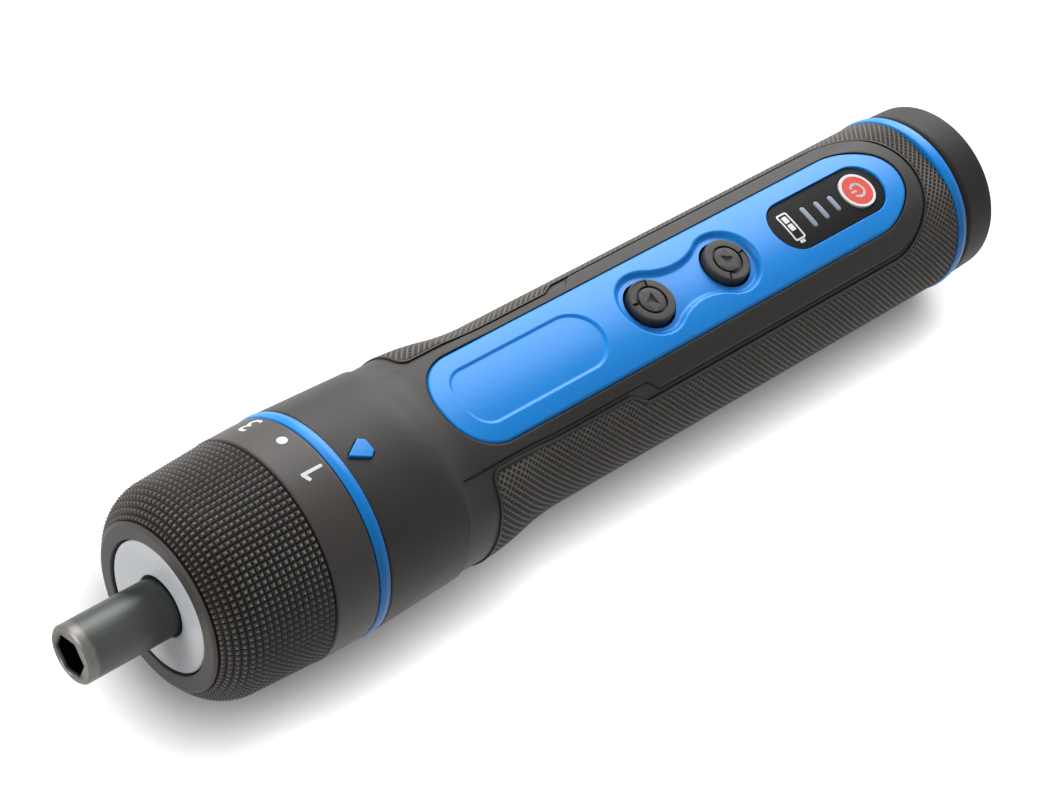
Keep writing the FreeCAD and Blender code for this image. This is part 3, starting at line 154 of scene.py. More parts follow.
class Graph:
    """The nodes of one material, or of the world."""

    def __init__(self, name: str, world: bool = False) -> None:
        """Start a material or a world with only its output node.

        Args:
            name: Its name.
            world: Whether it is a world.
        """
        self.owner = (bpy.data.worlds if world else bpy.data.materials).new(name)
        self.owner.use_nodes = True
        self.tree = self.owner.node_tree
        self.tree.nodes.clear()
        kind = "ShaderNodeOutputWorld" if world else "ShaderNodeOutputMaterial"
        self.out = self.tree.nodes.new(kind)

    def node(self, kind: str, settings: dict[str, Any], inputs: dict[Any, Value],
             output: Any = 0) -> Wire:
        """Add a node.

        Args:
            kind: Blender's type name of the node.
            settings: The node's own properties, set first.
            inputs: Values or wires for its sockets, by name or number.
            output: Name or number of the output to return.

        Returns:
            The chosen output.
        """
        made = self.tree.nodes.new(kind)
        for name, value in settings.items():
            setattr(made, name, value)
        for key, value in inputs.items():
            if isinstance(value, Wire):
                self.tree.links.new(value.socket, made.inputs[key])
            else:
                made.inputs[key].default_value = value
        return Wire(self, made.outputs[output])

    def place(self) -> Wire:
        """Give the point on the piece, in metres."""
        return self.node("ShaderNodeTexCoord", {}, {}, "Object")

    def axis(self, name: str) -> Wire:
        """Give one coordinate of the point on the piece, in metres."""
        return self.node("ShaderNodeSeparateXYZ", {}, {0: self.place()}, name)

    def stretched(self, along: Sequence[float]) -> Wire:
        """Give the point on the piece, squeezed along each axis."""
        return self.node("ShaderNodeMapping", {}, {"Vector": self.place(), "Scale": tuple(along)})

    def noise(self, size: float, detail: float, spot: Wire | None = None) -> Wire:
        """Add noise about a half, with blotches of a size in millimetres and some finer layers."""
        inputs = {"Vector": spot or self.place(), "Scale": 1 / (size * MM), "Detail": detail}
        return self.node("ShaderNodeTexNoise", {}, inputs)

    def mix(self, share: Value, first: Value, second: Value) -> Wire:
        """Mix two colours, from the first at 0 to the second at 1."""
        return self.node("ShaderNodeMix", {"data_type": "RGBA"}, {0: share, 6: first, 7: second}, 2)

    def uneven(self, share: Wire, colour: Colour, low: float, high: float = 1.0) -> Wire:
        """Vary the light of a colour between two factors, from the first at 0 to the second at 1."""
        return self.mix(share, shade(colour, low), shade(colour, high))

    def wander(self, level: float, *swings: tuple[Wire, float]) -> Wire:
        """Let a value wander about a level.

        Args:
            level: Its middle.
            swings: Noises about a half, each with the width of its swing.

        Returns:
            The wandering value.
        """
        total: Value = level - sum(width for _, width in swings) / 2
        for noise, width in swings:
            total = noise * width + total
        return total

    def soft_edges(self, radius: float) -> Wire:
        """Give a normal that rounds off edges by a radius in millimetres."""
        return self.node("ShaderNodeBevel", {"samples": EDGE_SAMPLES}, {"Radius": radius * MM})

    def bump(self, height: Wire, depth: float, normal: Wire | None = None) -> Wire:
        """Raise a surface by a height of 0 to 1 that is some millimetres deep."""
        inputs: dict[Any, Value] = {"Height": height, "Distance": depth * MM}
        if normal is not None:
            inputs["Normal"] = normal
        return self.node("ShaderNodeBump", {}, inputs)

    def surface(self, inputs: dict[Any, Value]) -> bpy.types.Material:
        """Close the material with a Principled shader that has these values or wires."""
        return self.close(self.node("ShaderNodeBsdfPrincipled", {}, inputs))

    def close(self, shader: Wire) -> Any:
        """Link a shader to the output, and give the finished material or world."""
        self.tree.links.new(shader.socket, self.out.inputs["Surface"])
        return self.owner

    def tips(self) -> Wire:
        """Give the piece's own mark: 1 on a tip or in a groove, a half on plain ground, 0 in a pit; it
        places painted shade and painted highlight.
        """
        return self.node("ShaderNodeAttribute", {"attribute_name": TIP}, {}, "Fac")

    def seen(self) -> Wire:
        """Give 1 for what the eye sees straight, in a reflection or through glass, and 0 for light."""
        rays = [self.node("ShaderNodeLightPath", {}, {}, name)
                for name in ("Is Camera Ray", "Is Glossy Ray", "Is Transmission Ray")]
        return (rays[0] + rays[1] + rays[2]).ramp(0.0, 1.0)


@dataclass(frozen=True)
class Moulding:
    """Moulded plastic or rubber: a fine eroded grain, uneven tone and softened edges."""

    name: str
    colour: Colour
    roughness: float
    grain: float = 0.22
    depth: float = 0.012
    blotch: float = 6.0
    mottle: float = 0.12
    edge: float = 0.18
    gloss: float = 0.5
    speckle: float = 0.0
    speckle_light: float = 2.2
    speckle_from: float = 0.52
    speckle_full: float = 0.75
    sunk: float = 0.0
    sunk_painted_shade: float = 0.1
    broad_swing: float = 0.12
    fine_swing: float = 0.08

    def make(self) -> bpy.types.Material:
        """Build the material."""
        graph = Graph(self.name)
        broad = graph.noise(self.blotch, MORE_LAYERS)
        fine = graph.noise(self.grain, FEW_LAYERS)
        tone = graph.uneven(broad, self.colour, 1 - self.mottle, 1 + self.mottle)
        if self.speckle > 0:
            specks = fine.ramp(self.speckle_from, self.speckle_full) * self.speckle
            tone = graph.mix(specks, tone, shade(self.colour, self.speckle_light))
        # Painted shade: where the piece marks a groove or pit, the tone is darkened.
        if self.sunk > 0:
            tone = graph.mix(graph.tips() * self.sunk, tone, shade(self.colour, self.sunk_painted_shade))
        normal = graph.soft_edges(self.edge) if self.edge > 0 else None
        return graph.surface({
            "Base Color": tone,
            "Roughness": graph.wander(
                self.roughness, (broad, self.broad_swing), (fine, self.fine_swing)),
            "Normal": graph.bump(fine, self.depth, normal),
            "Specular IOR Level": self.gloss,
        })


@dataclass(frozen=True)
class Knurling:
    """Moulded plastic or rubber whose points are lightened, partly as rubbed wear and partly as painted
    highlight, and whose pits are darkened as painted shade, with one fine mould line.
    """

    name: str
    colour: Colour
    worn_and_highlight: Colour
    roughness: float
    pit: float
    gloss: float
    grain: float = 0.2
    depth: float = 0.008
    blotch: float = 7.0
    mottle: float = 0.12
    polish: float = 0.08
    swing: float = 0.14
    tip_from: float = 0.6
    wear_and_highlight_least: float = 0.6
    wear_and_highlight_swing: float = 0.5
    line_angle: float = 0.0
    line_width: float = 0.0
    line_end: float = 0.0
    line_light: float = 0.2

    def mould_line(self, graph: Graph) -> Wire:
        """Give 1 on a hairline that runs along the spindle, and 0 elsewhere.

        Args:
            graph: The material's nodes.

        Returns:
            The mask.
        """
        turn = math.radians(self.line_angle)
        y, z = graph.axis("Y"), graph.axis("Z")
        aside = y * math.cos(turn) - z * math.sin(turn)
        outwards = (y * math.sin(turn) + z * math.cos(turn)).ramp(0.0, MM)
        near = 1 - (aside * aside).ramp(0.0, (self.line_width * MM) ** 2)
        past = graph.axis("X").ramp(self.line_end * MM, (self.line_end + 0.1) * MM)
        return near * outwards * (1 - past)

    def make(self) -> bpy.types.Material:
        """Build the material."""
        graph = Graph(self.name)
        fine = graph.noise(self.grain, FEW_LAYERS)
        broad = graph.noise(self.blotch, MORE_LAYERS)
        tips = graph.tips().ramp(self.tip_from, 1.0)
        tone = graph.uneven(broad, self.colour, 1 - self.mottle, 1 + self.mottle)
        # Painted shade: the pits between the points are darkened towards the colour times pit.
        tone = graph.mix(graph.tips().ramp(0.0, PLAIN), shade(self.colour, self.pit), tone)
        # The points are lightened towards the worn colour, partly as rubbed wear and partly as painted
        # highlight.
        tone = graph.mix(tips * (broad * self.wear_and_highlight_swing + self.wear_and_highlight_least), tone, self.worn_and_highlight)
        if self.line_width > 0:
            tone = graph.mix(self.mould_line(graph), tone, shade(self.colour, self.line_light))
        return graph.surface({
            "Base Color": tone,
            "Roughness": graph.wander(self.roughness, (broad, self.swing)) - tips * self.polish,
            "Normal": graph.bump(fine, self.depth),
            "Specular IOR Level": self.gloss,
        })


@dataclass(frozen=True)
class TurnedMetal:
    """Metal with fine turning marks round the spindle axis and a wandering polish."""

    name: str
    colour: Colour
    roughness: float
    marks: float = 0.12
    depth: float = 0.004
    blotch: float = 3.0
    worn_and_highlight: Colour | None = None
    worn_from: float = 0.0
    worn_length: float = 0.9
    worn_share: float = 0.75
    bore: float = 0.0
    bore_end: float = 0.0
    bore_painted_shade: float = 0.05
    edge: float = 0.1
    dark: float = 0.82
    light: float = 1.15
    broad_swing: float = 0.16
    marks_swing: float = 0.1
    marks_length: float = 0.04

    def inside(self, graph: Graph) -> Wire:
        """Give 1 on the walls of a bore along the spindle, where painted shade goes, and 0 elsewhere.

        Args:
            graph: The material's nodes.

        Returns:
            The mask.
        """
        y, z = graph.axis("Y"), graph.axis("Z")
        near = 1 - (y * y + z * z).ramp((self.bore * MM) ** 2, (self.bore * MM * 1.02) ** 2)
        return near * (1 - graph.axis("X").ramp((self.bore_end - 0.2) * MM, self.bore_end * MM))

    def make(self) -> bpy.types.Material:
        """Build the material."""
        graph = Graph(self.name)
        around = graph.stretched((1.0, self.marks_length, self.marks_length))
        rings = graph.noise(self.marks, MORE_LAYERS, around)
        broad = graph.noise(self.blotch, MORE_LAYERS)
        tone = graph.uneven(broad, self.colour, self.dark, self.light)
        if self.worn_and_highlight is not None:
            worn_to = self.worn_from + self.worn_length
            rubbed = (graph.axis("X") + broad * MM).ramp(self.worn_from * MM, worn_to * MM)
            tone = graph.mix(rubbed * self.worn_share, tone, self.worn_and_highlight)
        # Painted shade: the walls of the bore are darkened almost to black.
        if self.bore > 0:
            tone = graph.mix(self.inside(graph), tone, shade(self.colour, self.bore_painted_shade))
        return graph.surface({
            "Base Color": tone,
            "Metallic": 1.0,
            "Roughness": graph.wander(
                self.roughness, (broad, self.broad_swing), (rings, self.marks_swing)),
            "Normal": graph.bump(rings, self.depth, graph.soft_edges(self.edge)),
        })


@dataclass(frozen=True)
class Diffuser:
    """Milky plastic that spreads the light of the lamps behind it."""

    name: str
    colour: Colour
    roughness: float
    grain: float = 0.15
    depth: float = 0.006
    blotch: float = 5.0
    edge: float = 0.2
    milk: float = 0.25
    milk_depth: float = 1.5
    milk_reach: tuple[float, float, float] = (0.8, 0.85, 0.9)
    dark: float = 0.93
    light: float = 1.06
    swing: float = 0.1

    def make(self) -> bpy.types.Material:
        """Build the material."""
        graph = Graph(self.name)
        broad = graph.noise(self.blotch, FEW_LAYERS)
        fine = graph.noise(self.grain, FEW_LAYERS)
        return graph.surface({
            "Base Color": graph.uneven(broad, self.colour, self.dark, self.light),
            "Roughness": graph.wander(self.roughness, (fine, self.swing)),
            "Normal": graph.bump(fine, self.depth, graph.soft_edges(self.edge)),
            "Subsurface Weight": self.milk,
            "Subsurface Radius": self.milk_reach,
            "Subsurface Scale": self.milk_depth * MM,
        })


@dataclass(frozen=True)
class Print:
    """Opaque ink with a slightly uneven coat."""

    name: str
    colour: Colour
    roughness: float = 0.45
    grain: float = 0.3
    depth: float = 0.004
    dark: float = 0.92
    swing: float = 0.2

    def make(self) -> bpy.types.Material:
        """Build the material."""
        graph = Graph(self.name)
        fine = graph.noise(self.grain, MORE_LAYERS)
        return graph.surface({
            "Base Color": graph.uneven(fine, self.colour, self.dark),
            "Roughness": graph.wander(self.roughness, (fine, self.swing)),
            "Normal": graph.bump(fine, self.depth),
        })


Finish = Union[Moulding, Knurling, TurnedMetal, Diffuser, Print]

CHARCOAL = tint(56, 53, 50)
BLUE = tint(0, 152, 251)
SLOT_FINISHES: dict[str, Finish] = {finish.name: finish for finish in (
    Moulding("housing_plastic", CHARCOAL, 0.5, edge=0.45, gloss=0.24, speckle=0.06),
    Moulding("tail_plastic", tint(46, 43, 41), 0.55, grain=0.3, edge=0.3, gloss=0.18, speckle=0.1),
    # The knurled finishes darken their pits as painted shade and lighten their points, partly as wear and
    # partly as painted highlight.
    Knurling("grip_rubber", tint(74, 71, 68), tint(138, 133, 128), 0.52, pit=0.1, gloss=0.3),
    Moulding("blue_plastic", BLUE, 0.36, depth=0.003, mottle=0.04, edge=0.0, gloss=0.35),
    Knurling("selector_plastic", tint(70, 66, 63), tint(178, 169, 162), 0.48, pit=0.04, gloss=0.34,
             line_angle=44.0, line_width=0.07, line_end=168.5),
    # The button's grooves, notches and sunk triangle get painted shade through sunk.
    Moulding("button_plastic", tint(62, 59, 57), 0.46, depth=0.005, edge=0.06, gloss=0.28, sunk=0.95),
    Moulding("power_red", tint(236, 58, 42), 0.4, depth=0.003, mottle=0.05, edge=0.1, gloss=0.3),
    Moulding("plate_plastic", tint(26, 25, 24), 0.6, depth=0.008, edge=0.15, gloss=0.1, speckle=0.06),
    Moulding("light_guide", tint(126, 136, 156), 0.35, depth=0.003, mottle=0.06, edge=0.1),
    Diffuser("lens_plastic", tint(222, 225, 229), 0.42),
    TurnedMetal("spindle_steel", tint(78, 81, 79), 0.4, worn_and_highlight=tint(116, 113, 108), worn_from=204.0,
                bore=3.74, bore_end=205.55),
    TurnedMetal("bright_steel", tint(200, 200, 202), 0.3),
    TurnedMetal("spring_steel", tint(150, 152, 158), 0.35),
    TurnedMetal("gear_steel", tint(165, 164, 162), 0.38),
    TurnedMetal("bush_bronze", tint(176, 126, 74), 0.42),
    TurnedMetal("motor_steel", tint(178, 180, 184), 0.34),
    TurnedMetal("rotor_iron", tint(110, 108, 106), 0.48),
    Moulding("magnet_black", tint(44, 43, 44), 0.5, mottle=0.2),
    Moulding("inner_nylon", tint(206, 202, 190), 0.48),
    Moulding("cell_wrap", tint(60, 120, 86), 0.35, mottle=0.06),
    Moulding("board_green", tint(28, 92, 58), 0.4, blotch=2.0, mottle=0.2),
    Moulding("switch_black", tint(36, 35, 36), 0.45),
    Diffuser("led_white", tint(240, 238, 220), 0.3),
    TurnedMetal("socket_steel", tint(186, 186, 188), 0.3),
)}
SMOOTH_RUBBER = Moulding("smooth_rubber", tint(52, 49, 47), 0.52, depth=0.008, edge=0.2, gloss=0.35,
                         speckle=0.05)
WHITE_PRINT = Print("white_print", tint(246, 246, 246))
WHITE_BORDER = Print("white_border", tint(244, 244, 244), 0.4)


class Paintbox:
    """The materials made so far, so that each finish is built once."""

    def __init__(self) -> None:
        """Start with no materials."""
        self.made: dict[str, bpy.types.Material] = {}

    def material(self, finish: Finish) -> bpy.types.Material:
        """Build a finish, or give the one already built.

        Args:
            finish: The finish wanted.

        Returns:
            Its material.
        """
        if finish.name not in self.made:
            self.made[finish.name] = finish.make()
        return self.made[finish.name]


PAINT = Paintbox()


@dataclass(frozen=True)
class Dress:
    """What a piece is finished with, what carries it, and the solids that it stands for."""

    slot: str
    body: str
    nodes: tuple[str, ...] = ()
    finish: Finish | None = None

    def put_on(self, piece: bpy.types.Object) -> None:
        """Give a piece its material, its body and its solids.

        Args:
            piece: The new object.
        """
        piece.data.materials.clear()
        piece.data.materials.append(PAINT.material(self.finish or SLOT_FINISHES[self.slot]))
        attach(piece, self.body)
        if self.nodes:
            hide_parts(*self.nodes)


def show(name: str, data: Any) -> bpy.types.Object:
    """Put data in the scene as an object.

    Args:
        name: The object's name.
        data: Its mesh, curve, lamp or camera.

    Returns:
        The object.
    """
    made = bpy.data.objects.new(name, data)
    bpy.context.scene.collection.objects.link(made)
    return made


class Plane(Enum):
    """The plane that an outline is drawn in."""

    PLAN = "seen from above"
    PROFILE = "half section through the spindle axis"

    def spot(self, first: float, second: float, height: float) -> Vector:
        """Place a drawn point in space.

        Args:
            first: Distance along the spindle.
            second: Distance sideways in a plan, or the radius in a profile.
            height: Height of a plan.

        Returns:
            The point.
        """
        if self is Plane.PLAN:
            return Vector((first, second, height))
        return Vector((first, 0.0, second))


class Cut(Enum):
    """How one solid is cut by another, or joined to it."""

    AWAY = "DIFFERENCE"
    WITHIN = "INTERSECT"
    TOGETHER = "UNION"


class Blank:
    """A mesh in the making, shaped in millimetres by bmesh operators."""

    def __init__(self, chord: float = 0.3) -> None:
        """Start empty.

        Args:
            chord: Length of the chords that arcs are drawn with.
        """
        self.bm = bmesh.new()
        self.chord = chord

    def outline(self, corners: Sequence[Corner], plane: Plane = Plane.PLAN,
                height: float = 0.0) -> list[BMEdge]:
        """Draw a closed outline of straight runs and rounded corners.

        Args:
            corners: Two coordinates and a corner radius each.
            plane: The plane to draw in.
            height: Height of a plan.

        Returns:
            The outline's edges.
        """
        known = set(self.bm.edges)
        spots = [plane.spot(first, second, height) for first, second, _ in corners]
        start_vert = tip = None
        for index, here in enumerate(spots):
            arrive = (here - spots[index - 1]).normalized()
            leave = (spots[(index + 1) % len(spots)] - here).normalized()
            radius = corners[index][2]
            turn = arrive.angle(leave)
            begin = here - arrive * (radius * math.tan(turn / 2))
            if tip is None or (begin - tip.co).length > TOUCH:
                before, tip = tip, self.bm.verts.new(begin)
                if before is not None:
                    self.bm.edges.new((before, tip))
            start_vert = start_vert or tip
            if radius > 0:
                normal = arrive.cross(leave).normalized()
                steps = max(3, math.ceil(turn * radius / self.chord))
                centre = begin + normal.cross(arrive) * radius
                arc = bmesh.ops.spin(self.bm, geom=[tip], cent=centre, axis=normal, angle=turn,
                                     steps=steps, use_merge=False, use_duplicate=False)
                tip = arc["geom_last"][0]
        if (tip.co - start_vert.co).length > TOUCH:
            self.bm.edges.new((tip, start_vert))
        else:
            bmesh.ops.weld_verts(self.bm, targetmap={tip: start_vert})
        return [edge for edge in self.bm.edges if edge not in known]

    def circle(self, x: float, radius: float, height: float, steps: int) -> list[BMEdge]:
        """Draw a circle in plan, about a centre over the spindle.

        Args:
            x: Place of its centre along the spindle.
            radius: Its radius.
            height: Its height.
            steps: How many chords it has.

        Returns:
            Its edges.
        """
        made = bmesh.ops.create_circle(self.bm, cap_ends=False, segments=steps, radius=radius,
                                       matrix=Matrix.Translation((x, 0.0, height)))
        return list({edge for vert in made["verts"] for edge in vert.link_edges})

    def sheet(self, edges: Sequence[BMEdge]) -> BMFace:
        """Fill a plan outline with one face that looks up.

        Args:
            edges: The outline.

        Returns:
            The face.
        """
        face = bmesh.ops.edgeloop_fill(self.bm, edges=list(edges))["faces"][0]
        face.normal_update()
        if face.normal.z < 0:
            face.normal_flip()
        return face

    def web(self, *loops: Sequence[BMEdge]) -> list[BMFace]:
        """Fill the space between an outline and the outlines inside it.

        Args:
            loops: The outlines' edges.

        Returns:
            The new faces.
        """
        edges = [edge for loop in loops for edge in loop]
        made = bmesh.ops.triangle_fill(self.bm, use_beauty=True, use_dissolve=False, edges=edges)
        return [item for item in made["geom"] if isinstance(item, BMFace)]

    def terrace(self, face: BMFace, steps: Iterable[Step]) -> BMFace:
        """Inset a face again and again, so that its sides become a soft or stepped wall.

        Args:
            face: The face to inset.
            steps: How far each inset goes in, and how far it rises.

        Returns:
            The innermost face.
        """
        for inwards, rise in steps:
            bmesh.ops.inset_individual(self.bm, faces=[face], thickness=inwards, depth=rise,
                                       use_even_offset=True)
        return face

    def step_in(self, edges: Sequence[BMEdge],
                steps: Iterable[Step]) -> tuple[list[BMEdge], BMFace]:
        """Fill an outline and terrace it.

        A lone face takes its own edges inwards, so the outer rim is found afterwards.

        Args:
            edges: The outline.
            steps: How far each inset goes in, and how far it rises.

        Returns:
            The edges of the outer rim, and the innermost face.
        """
        face = self.sheet(edges)
        known = set(self.bm.faces)
        self.terrace(face, steps)
        fresh = [other for other in self.bm.faces if other not in known]
        return [edge for other in fresh for edge in other.edges if len(edge.link_faces) == 1], face

    def chip(self, edges: Sequence[BMEdge], steps: Iterable[Step]) -> BMFace:
        """Terrace an outline upwards and close its underside.

        Args:
            edges: The outline.
            steps: How far each inset goes in, and how far it rises.

        Returns:
            The innermost face of the top.
        """
        rim, face = self.step_in(edges, steps)
        self.sheet(rim)
        return face

    def pillar(self, edges: Sequence[BMEdge], height: float) -> BMFace:
        """Fill an outline as an underside, and raise walls from it.

        Args:
            edges: The outline.
            height: Where the walls end.

        Returns:
            The top.
        """
        base = self.sheet(edges)
        lid = bmesh.ops.extrude_face_region(self.bm, geom=[base], use_keep_orig=True)["geom"]
        for vert in [item for item in lid if isinstance(item, BMVert)]:
            vert.co.z = height
        return next(item for item in lid if isinstance(item, BMFace))

    def thicken(self, thickness: float) -> None:
        """Turn every face of a flat mesh up, and give the mesh a thickness.

        Args:
            thickness: That thickness.
        """
        for face in self.bm.faces:
            face.normal_update()
            if face.normal.z < 0:
                face.normal_flip()
        bmesh.ops.solidify(self.bm, geom=self.bm.faces, thickness=thickness)

    def open(self, face: BMFace) -> list[BMEdge]:
        """Take a face out and keep its edges.

        Args:
            face: The face to delete.

        Returns:
            The edges round the opening.
        """
        edges = list(face.edges)
        bmesh.ops.delete(self.bm, geom=[face], context="FACES_ONLY")
        return edges

    def drop(self, edges: Sequence[BMEdge], height: float) -> list[BMEdge]:
        """Extrude edges straight down or up to a height.

        Args:
            edges: The edges to extrude.
            height: Where the new edges lie.

        Returns:
            The new edges.
        """
        made = bmesh.ops.extrude_edge_only(self.bm, edges=list(edges))["geom"]
        verts = {item for item in made if isinstance(item, BMVert)}
        for vert in verts:
            vert.co.z = height
        return [item for item in made if isinstance(item, BMEdge) and verts.issuperset(item.verts)]

    def slice_across(self, reach: float, pitch: float, across: Corner = (0.0, 1.0, 0.0)) -> None:
        """Cut a flat mesh into narrow strips, so that it can bend.

        Args:
            reach: How far to each side the cuts go.
            pitch: Width of a strip.
            across: The direction that the cuts follow each other in.
        """
        count = math.floor(reach / pitch)
        for index in range(-count, count + 1):
            everything = [*self.bm.verts, *self.bm.edges, *self.bm.faces]
            bmesh.ops.bisect_plane(self.bm, geom=everything, dist=TOUCH, plane_no=across,
                                   plane_co=Vector(across) * (index * pitch))

    def lift(self, height: Callable[[Vector], float]) -> None:
        """Raise every vertex by a height that depends on its place, and note how level faces tilt.

        Args:
            height: Gives the height for a place.
        """
        level = self.bm.faces.layers.int.new(LEVEL)
        tilt = self.bm.verts.layers.float_vector.new(TILT)
        under = min(vert.co.z for vert in self.bm.verts) + TOUCH
        for face in self.bm.faces:
            heights = [vert.co.z for vert in face.verts]
            face[level] = int(min(heights) > under and max(heights) - min(heights) < TOUCH)
        step = 0.01
        for vert in self.bm.verts:
            along, across = Vector((step, 0.0, 0.0)), Vector((0.0, step, 0.0))
            slope = [height(vert.co - way) - height(vert.co + way) for way in (along, across)]
            vert[tilt] = Vector((*slope, 2 * step)).normalized()
        for vert in self.bm.verts:
            vert.co.z += height(vert.co)

    def light_level(self, mesh: bpy.types.Mesh, crease: float) -> None:
        """Give level faces, and the soft rounds that begin at them, the normals of the bent surface.

        Args:
            mesh: The finished mesh of a lifted blank.
            crease: Angle in degrees past which an edge stays sharp.
        """
        level, tilt = mesh.attributes[LEVEL].data, mesh.attributes[TILT].data
        lifted = {vert for face in mesh.polygons if level[face.index].value for vert in face.vertices}
        limit = math.cos(math.radians(crease))
        normals = [Vector() for _ in mesh.loops]
        for face in mesh.polygons:
            for corner, vert in zip(face.loop_indices, face.vertices):
                bent = Vector(tilt[vert].vector)
                if level[face.index].value or (vert in lifted and face.normal.dot(bent) > limit):
                    normals[corner] = bent
        mesh.normals_split_custom_set(normals)
        for name in (LEVEL, TILT):
            mesh.attributes.remove(mesh.attributes[name])

    def turn(self, edges: Sequence[BMEdge], steps: int) -> None:
        """Spin a profile once round the spindle axis.

        Args:
            edges: The profile.
            steps: How many steps the turn has.
        """
        verts = list({vert for edge in edges for vert in edge.verts})
        bmesh.ops.spin(self.bm, geom=verts + list(edges), cent=(0.0, 0.0, 0.0), axis=(1.0, 0.0, 0.0),
                       angle=FULL_TURN, steps=steps, use_merge=True, use_duplicate=False)
        self.mend()

    def mend(self) -> None:
        """Merge doubles and turn every face outwards."""
        bmesh.ops.remove_doubles(self.bm, verts=self.bm.verts, dist=TOUCH)
        bmesh.ops.recalc_face_normals(self.bm, faces=self.bm.faces)

    def prism(self, corners: Sequence[Corner], bottom: float, top: float) -> None:
        """Raise a plan outline from one height to another as a closed prism."""
        self.pillar(self.outline(corners, height=bottom), top)
        self.mend()

    def scratch(self) -> bpy.types.Object:
        """Put the mesh in the scene for a moment, as a helper of a cut."""
        mesh = bpy.data.meshes.new("scratch")
        self.bm.to_mesh(mesh)
        return show("scratch", mesh)

    def carve(self, other: Blank, how: Cut) -> None:
        """Cut this solid by another.

        Args:
            other: The cutter, a closed solid.
            how: Whether to keep what is outside it, what is inside it, or both together.
        """
        target, cutter = self.scratch(), other.scratch()
        cut = target.modifiers.new("carve", "BOOLEAN")
        cut.operation = how.value
        cut.solver = "EXACT"
        cut.object = cutter
        result = target.evaluated_get(bpy.context.evaluated_depsgraph_get())
        self.bm.clear()
        self.bm.from_mesh(result.to_mesh())
        for helper in (target, cutter):
            mesh = helper.data
            bpy.data.objects.remove(helper)
            bpy.data.meshes.remove(mesh)

    def piece(self, name: str, dress: Dress, crease: float = 32.0,
              level: bool = True) -> bpy.types.Object:
        """Turn the mesh into a finished piece, in metres.

        Args:
            name: The piece's name.
            dress: Its finish, body and solids.
            crease: Angle in degrees past which an edge stays sharp.
            level: Whether large faces keep their light level where narrow ones meet them.

        Returns:
            The new object.
        """
        bmesh.ops.scale(self.bm, vec=(MM, MM, MM), verts=self.bm.verts)
        mesh = bpy.data.meshes.new(name)
        self.bm.to_mesh(mesh)
        self.bm.free()
        mesh.shade_smooth()
        mesh.set_sharp_from_angle(angle=math.radians(crease))
        made = show(name, mesh)
        if LEVEL in mesh.attributes:
            self.light_level(mesh, crease)
        elif level:
            made.modifiers.new("level_light", "WEIGHTED_NORMAL").keep_sharp = True
        dress.put_on(made)
        LOG.info("%s: %d faces on %s", name, len(mesh.polygons), dress.body)
        return made


def shield(rear: float, front: float, half: float, corner: float) -> list[Corner]:
    """Give a plan with a round rear end and two rounded front corners.

    Args:
        rear: Where it starts along the spindle.
        front: Where it ends.
        half: Half its width.
        corner: Radius of the front corners.

    Returns:
        The plan's corners.
    """
    return [(rear, -half, half), (front, -half, corner), (front, half, corner), (rear, half, half)]


def rectangle(rear: float, front: float, left: float, right: float, corner: float) -> list[Corner]:
    """Give a rectangular plan with equal corners.

    Args:
        rear: Where it starts along the spindle.
        front: Where it ends.
        left: Where it starts across the spindle.
        right: Where it ends there.
        corner: Radius of its corners.

    Returns:
        The plan's corners.
    """
    return [(rear, left, corner), (front, left, corner), (front, right, corner), (rear, right, corner)]


def s_curve(x: float, start: float, start_height: float, end: float, end_height: float) -> float:
    """Follow a level line that changes to another by two equal arcs.

    Args:
        x: Where to read it.
        start: Where the change starts.
        start_height: Height before it.
        end: Where the change ends.
        end_height: Height after it.

    Returns:
        The height there.
    """
    rise = end_height - start_height
    length = end - start
    arc = (length * length + rise * rise) / (4 * rise)
    if x <= start:
        return start_height
    if x >= end:
        return end_height
    if x <= (start + end) / 2:
        return start_height + arc - math.sqrt(arc * arc - (x - start) ** 2)
    return end_height - arc + math.sqrt(arc * arc - (end - x) ** 2)


def oval(rear: float, front: float, half: float, nose: float, shoulder: float,
         corner: float) -> list[Corner]:
    """Give a plan with an oval rear end of three arcs and two rounded front corners.

    Args:
        rear: Where it starts along the spindle.
        front: Where it ends.
        half: Half its width.
        nose: Radius of the arc at its rear tip.
        shoulder: Radius of the arcs between that and its straight sides.
        corner: Radius of the front corners.

    Returns:
        The plan's corners.
    """
    centre = rear + nose
    along = math.sqrt((shoulder - nose) ** 2 - (shoulder - half) ** 2)
    tip = centre - nose * (shoulder - nose) / along
    side = centre + ((shoulder - half) * half - nose * (shoulder - nose)) / along
    return [(tip, 0.0, nose), (side, -half, shoulder), (front, -half, corner), (front, half, corner),
            (side, half, shoulder)]


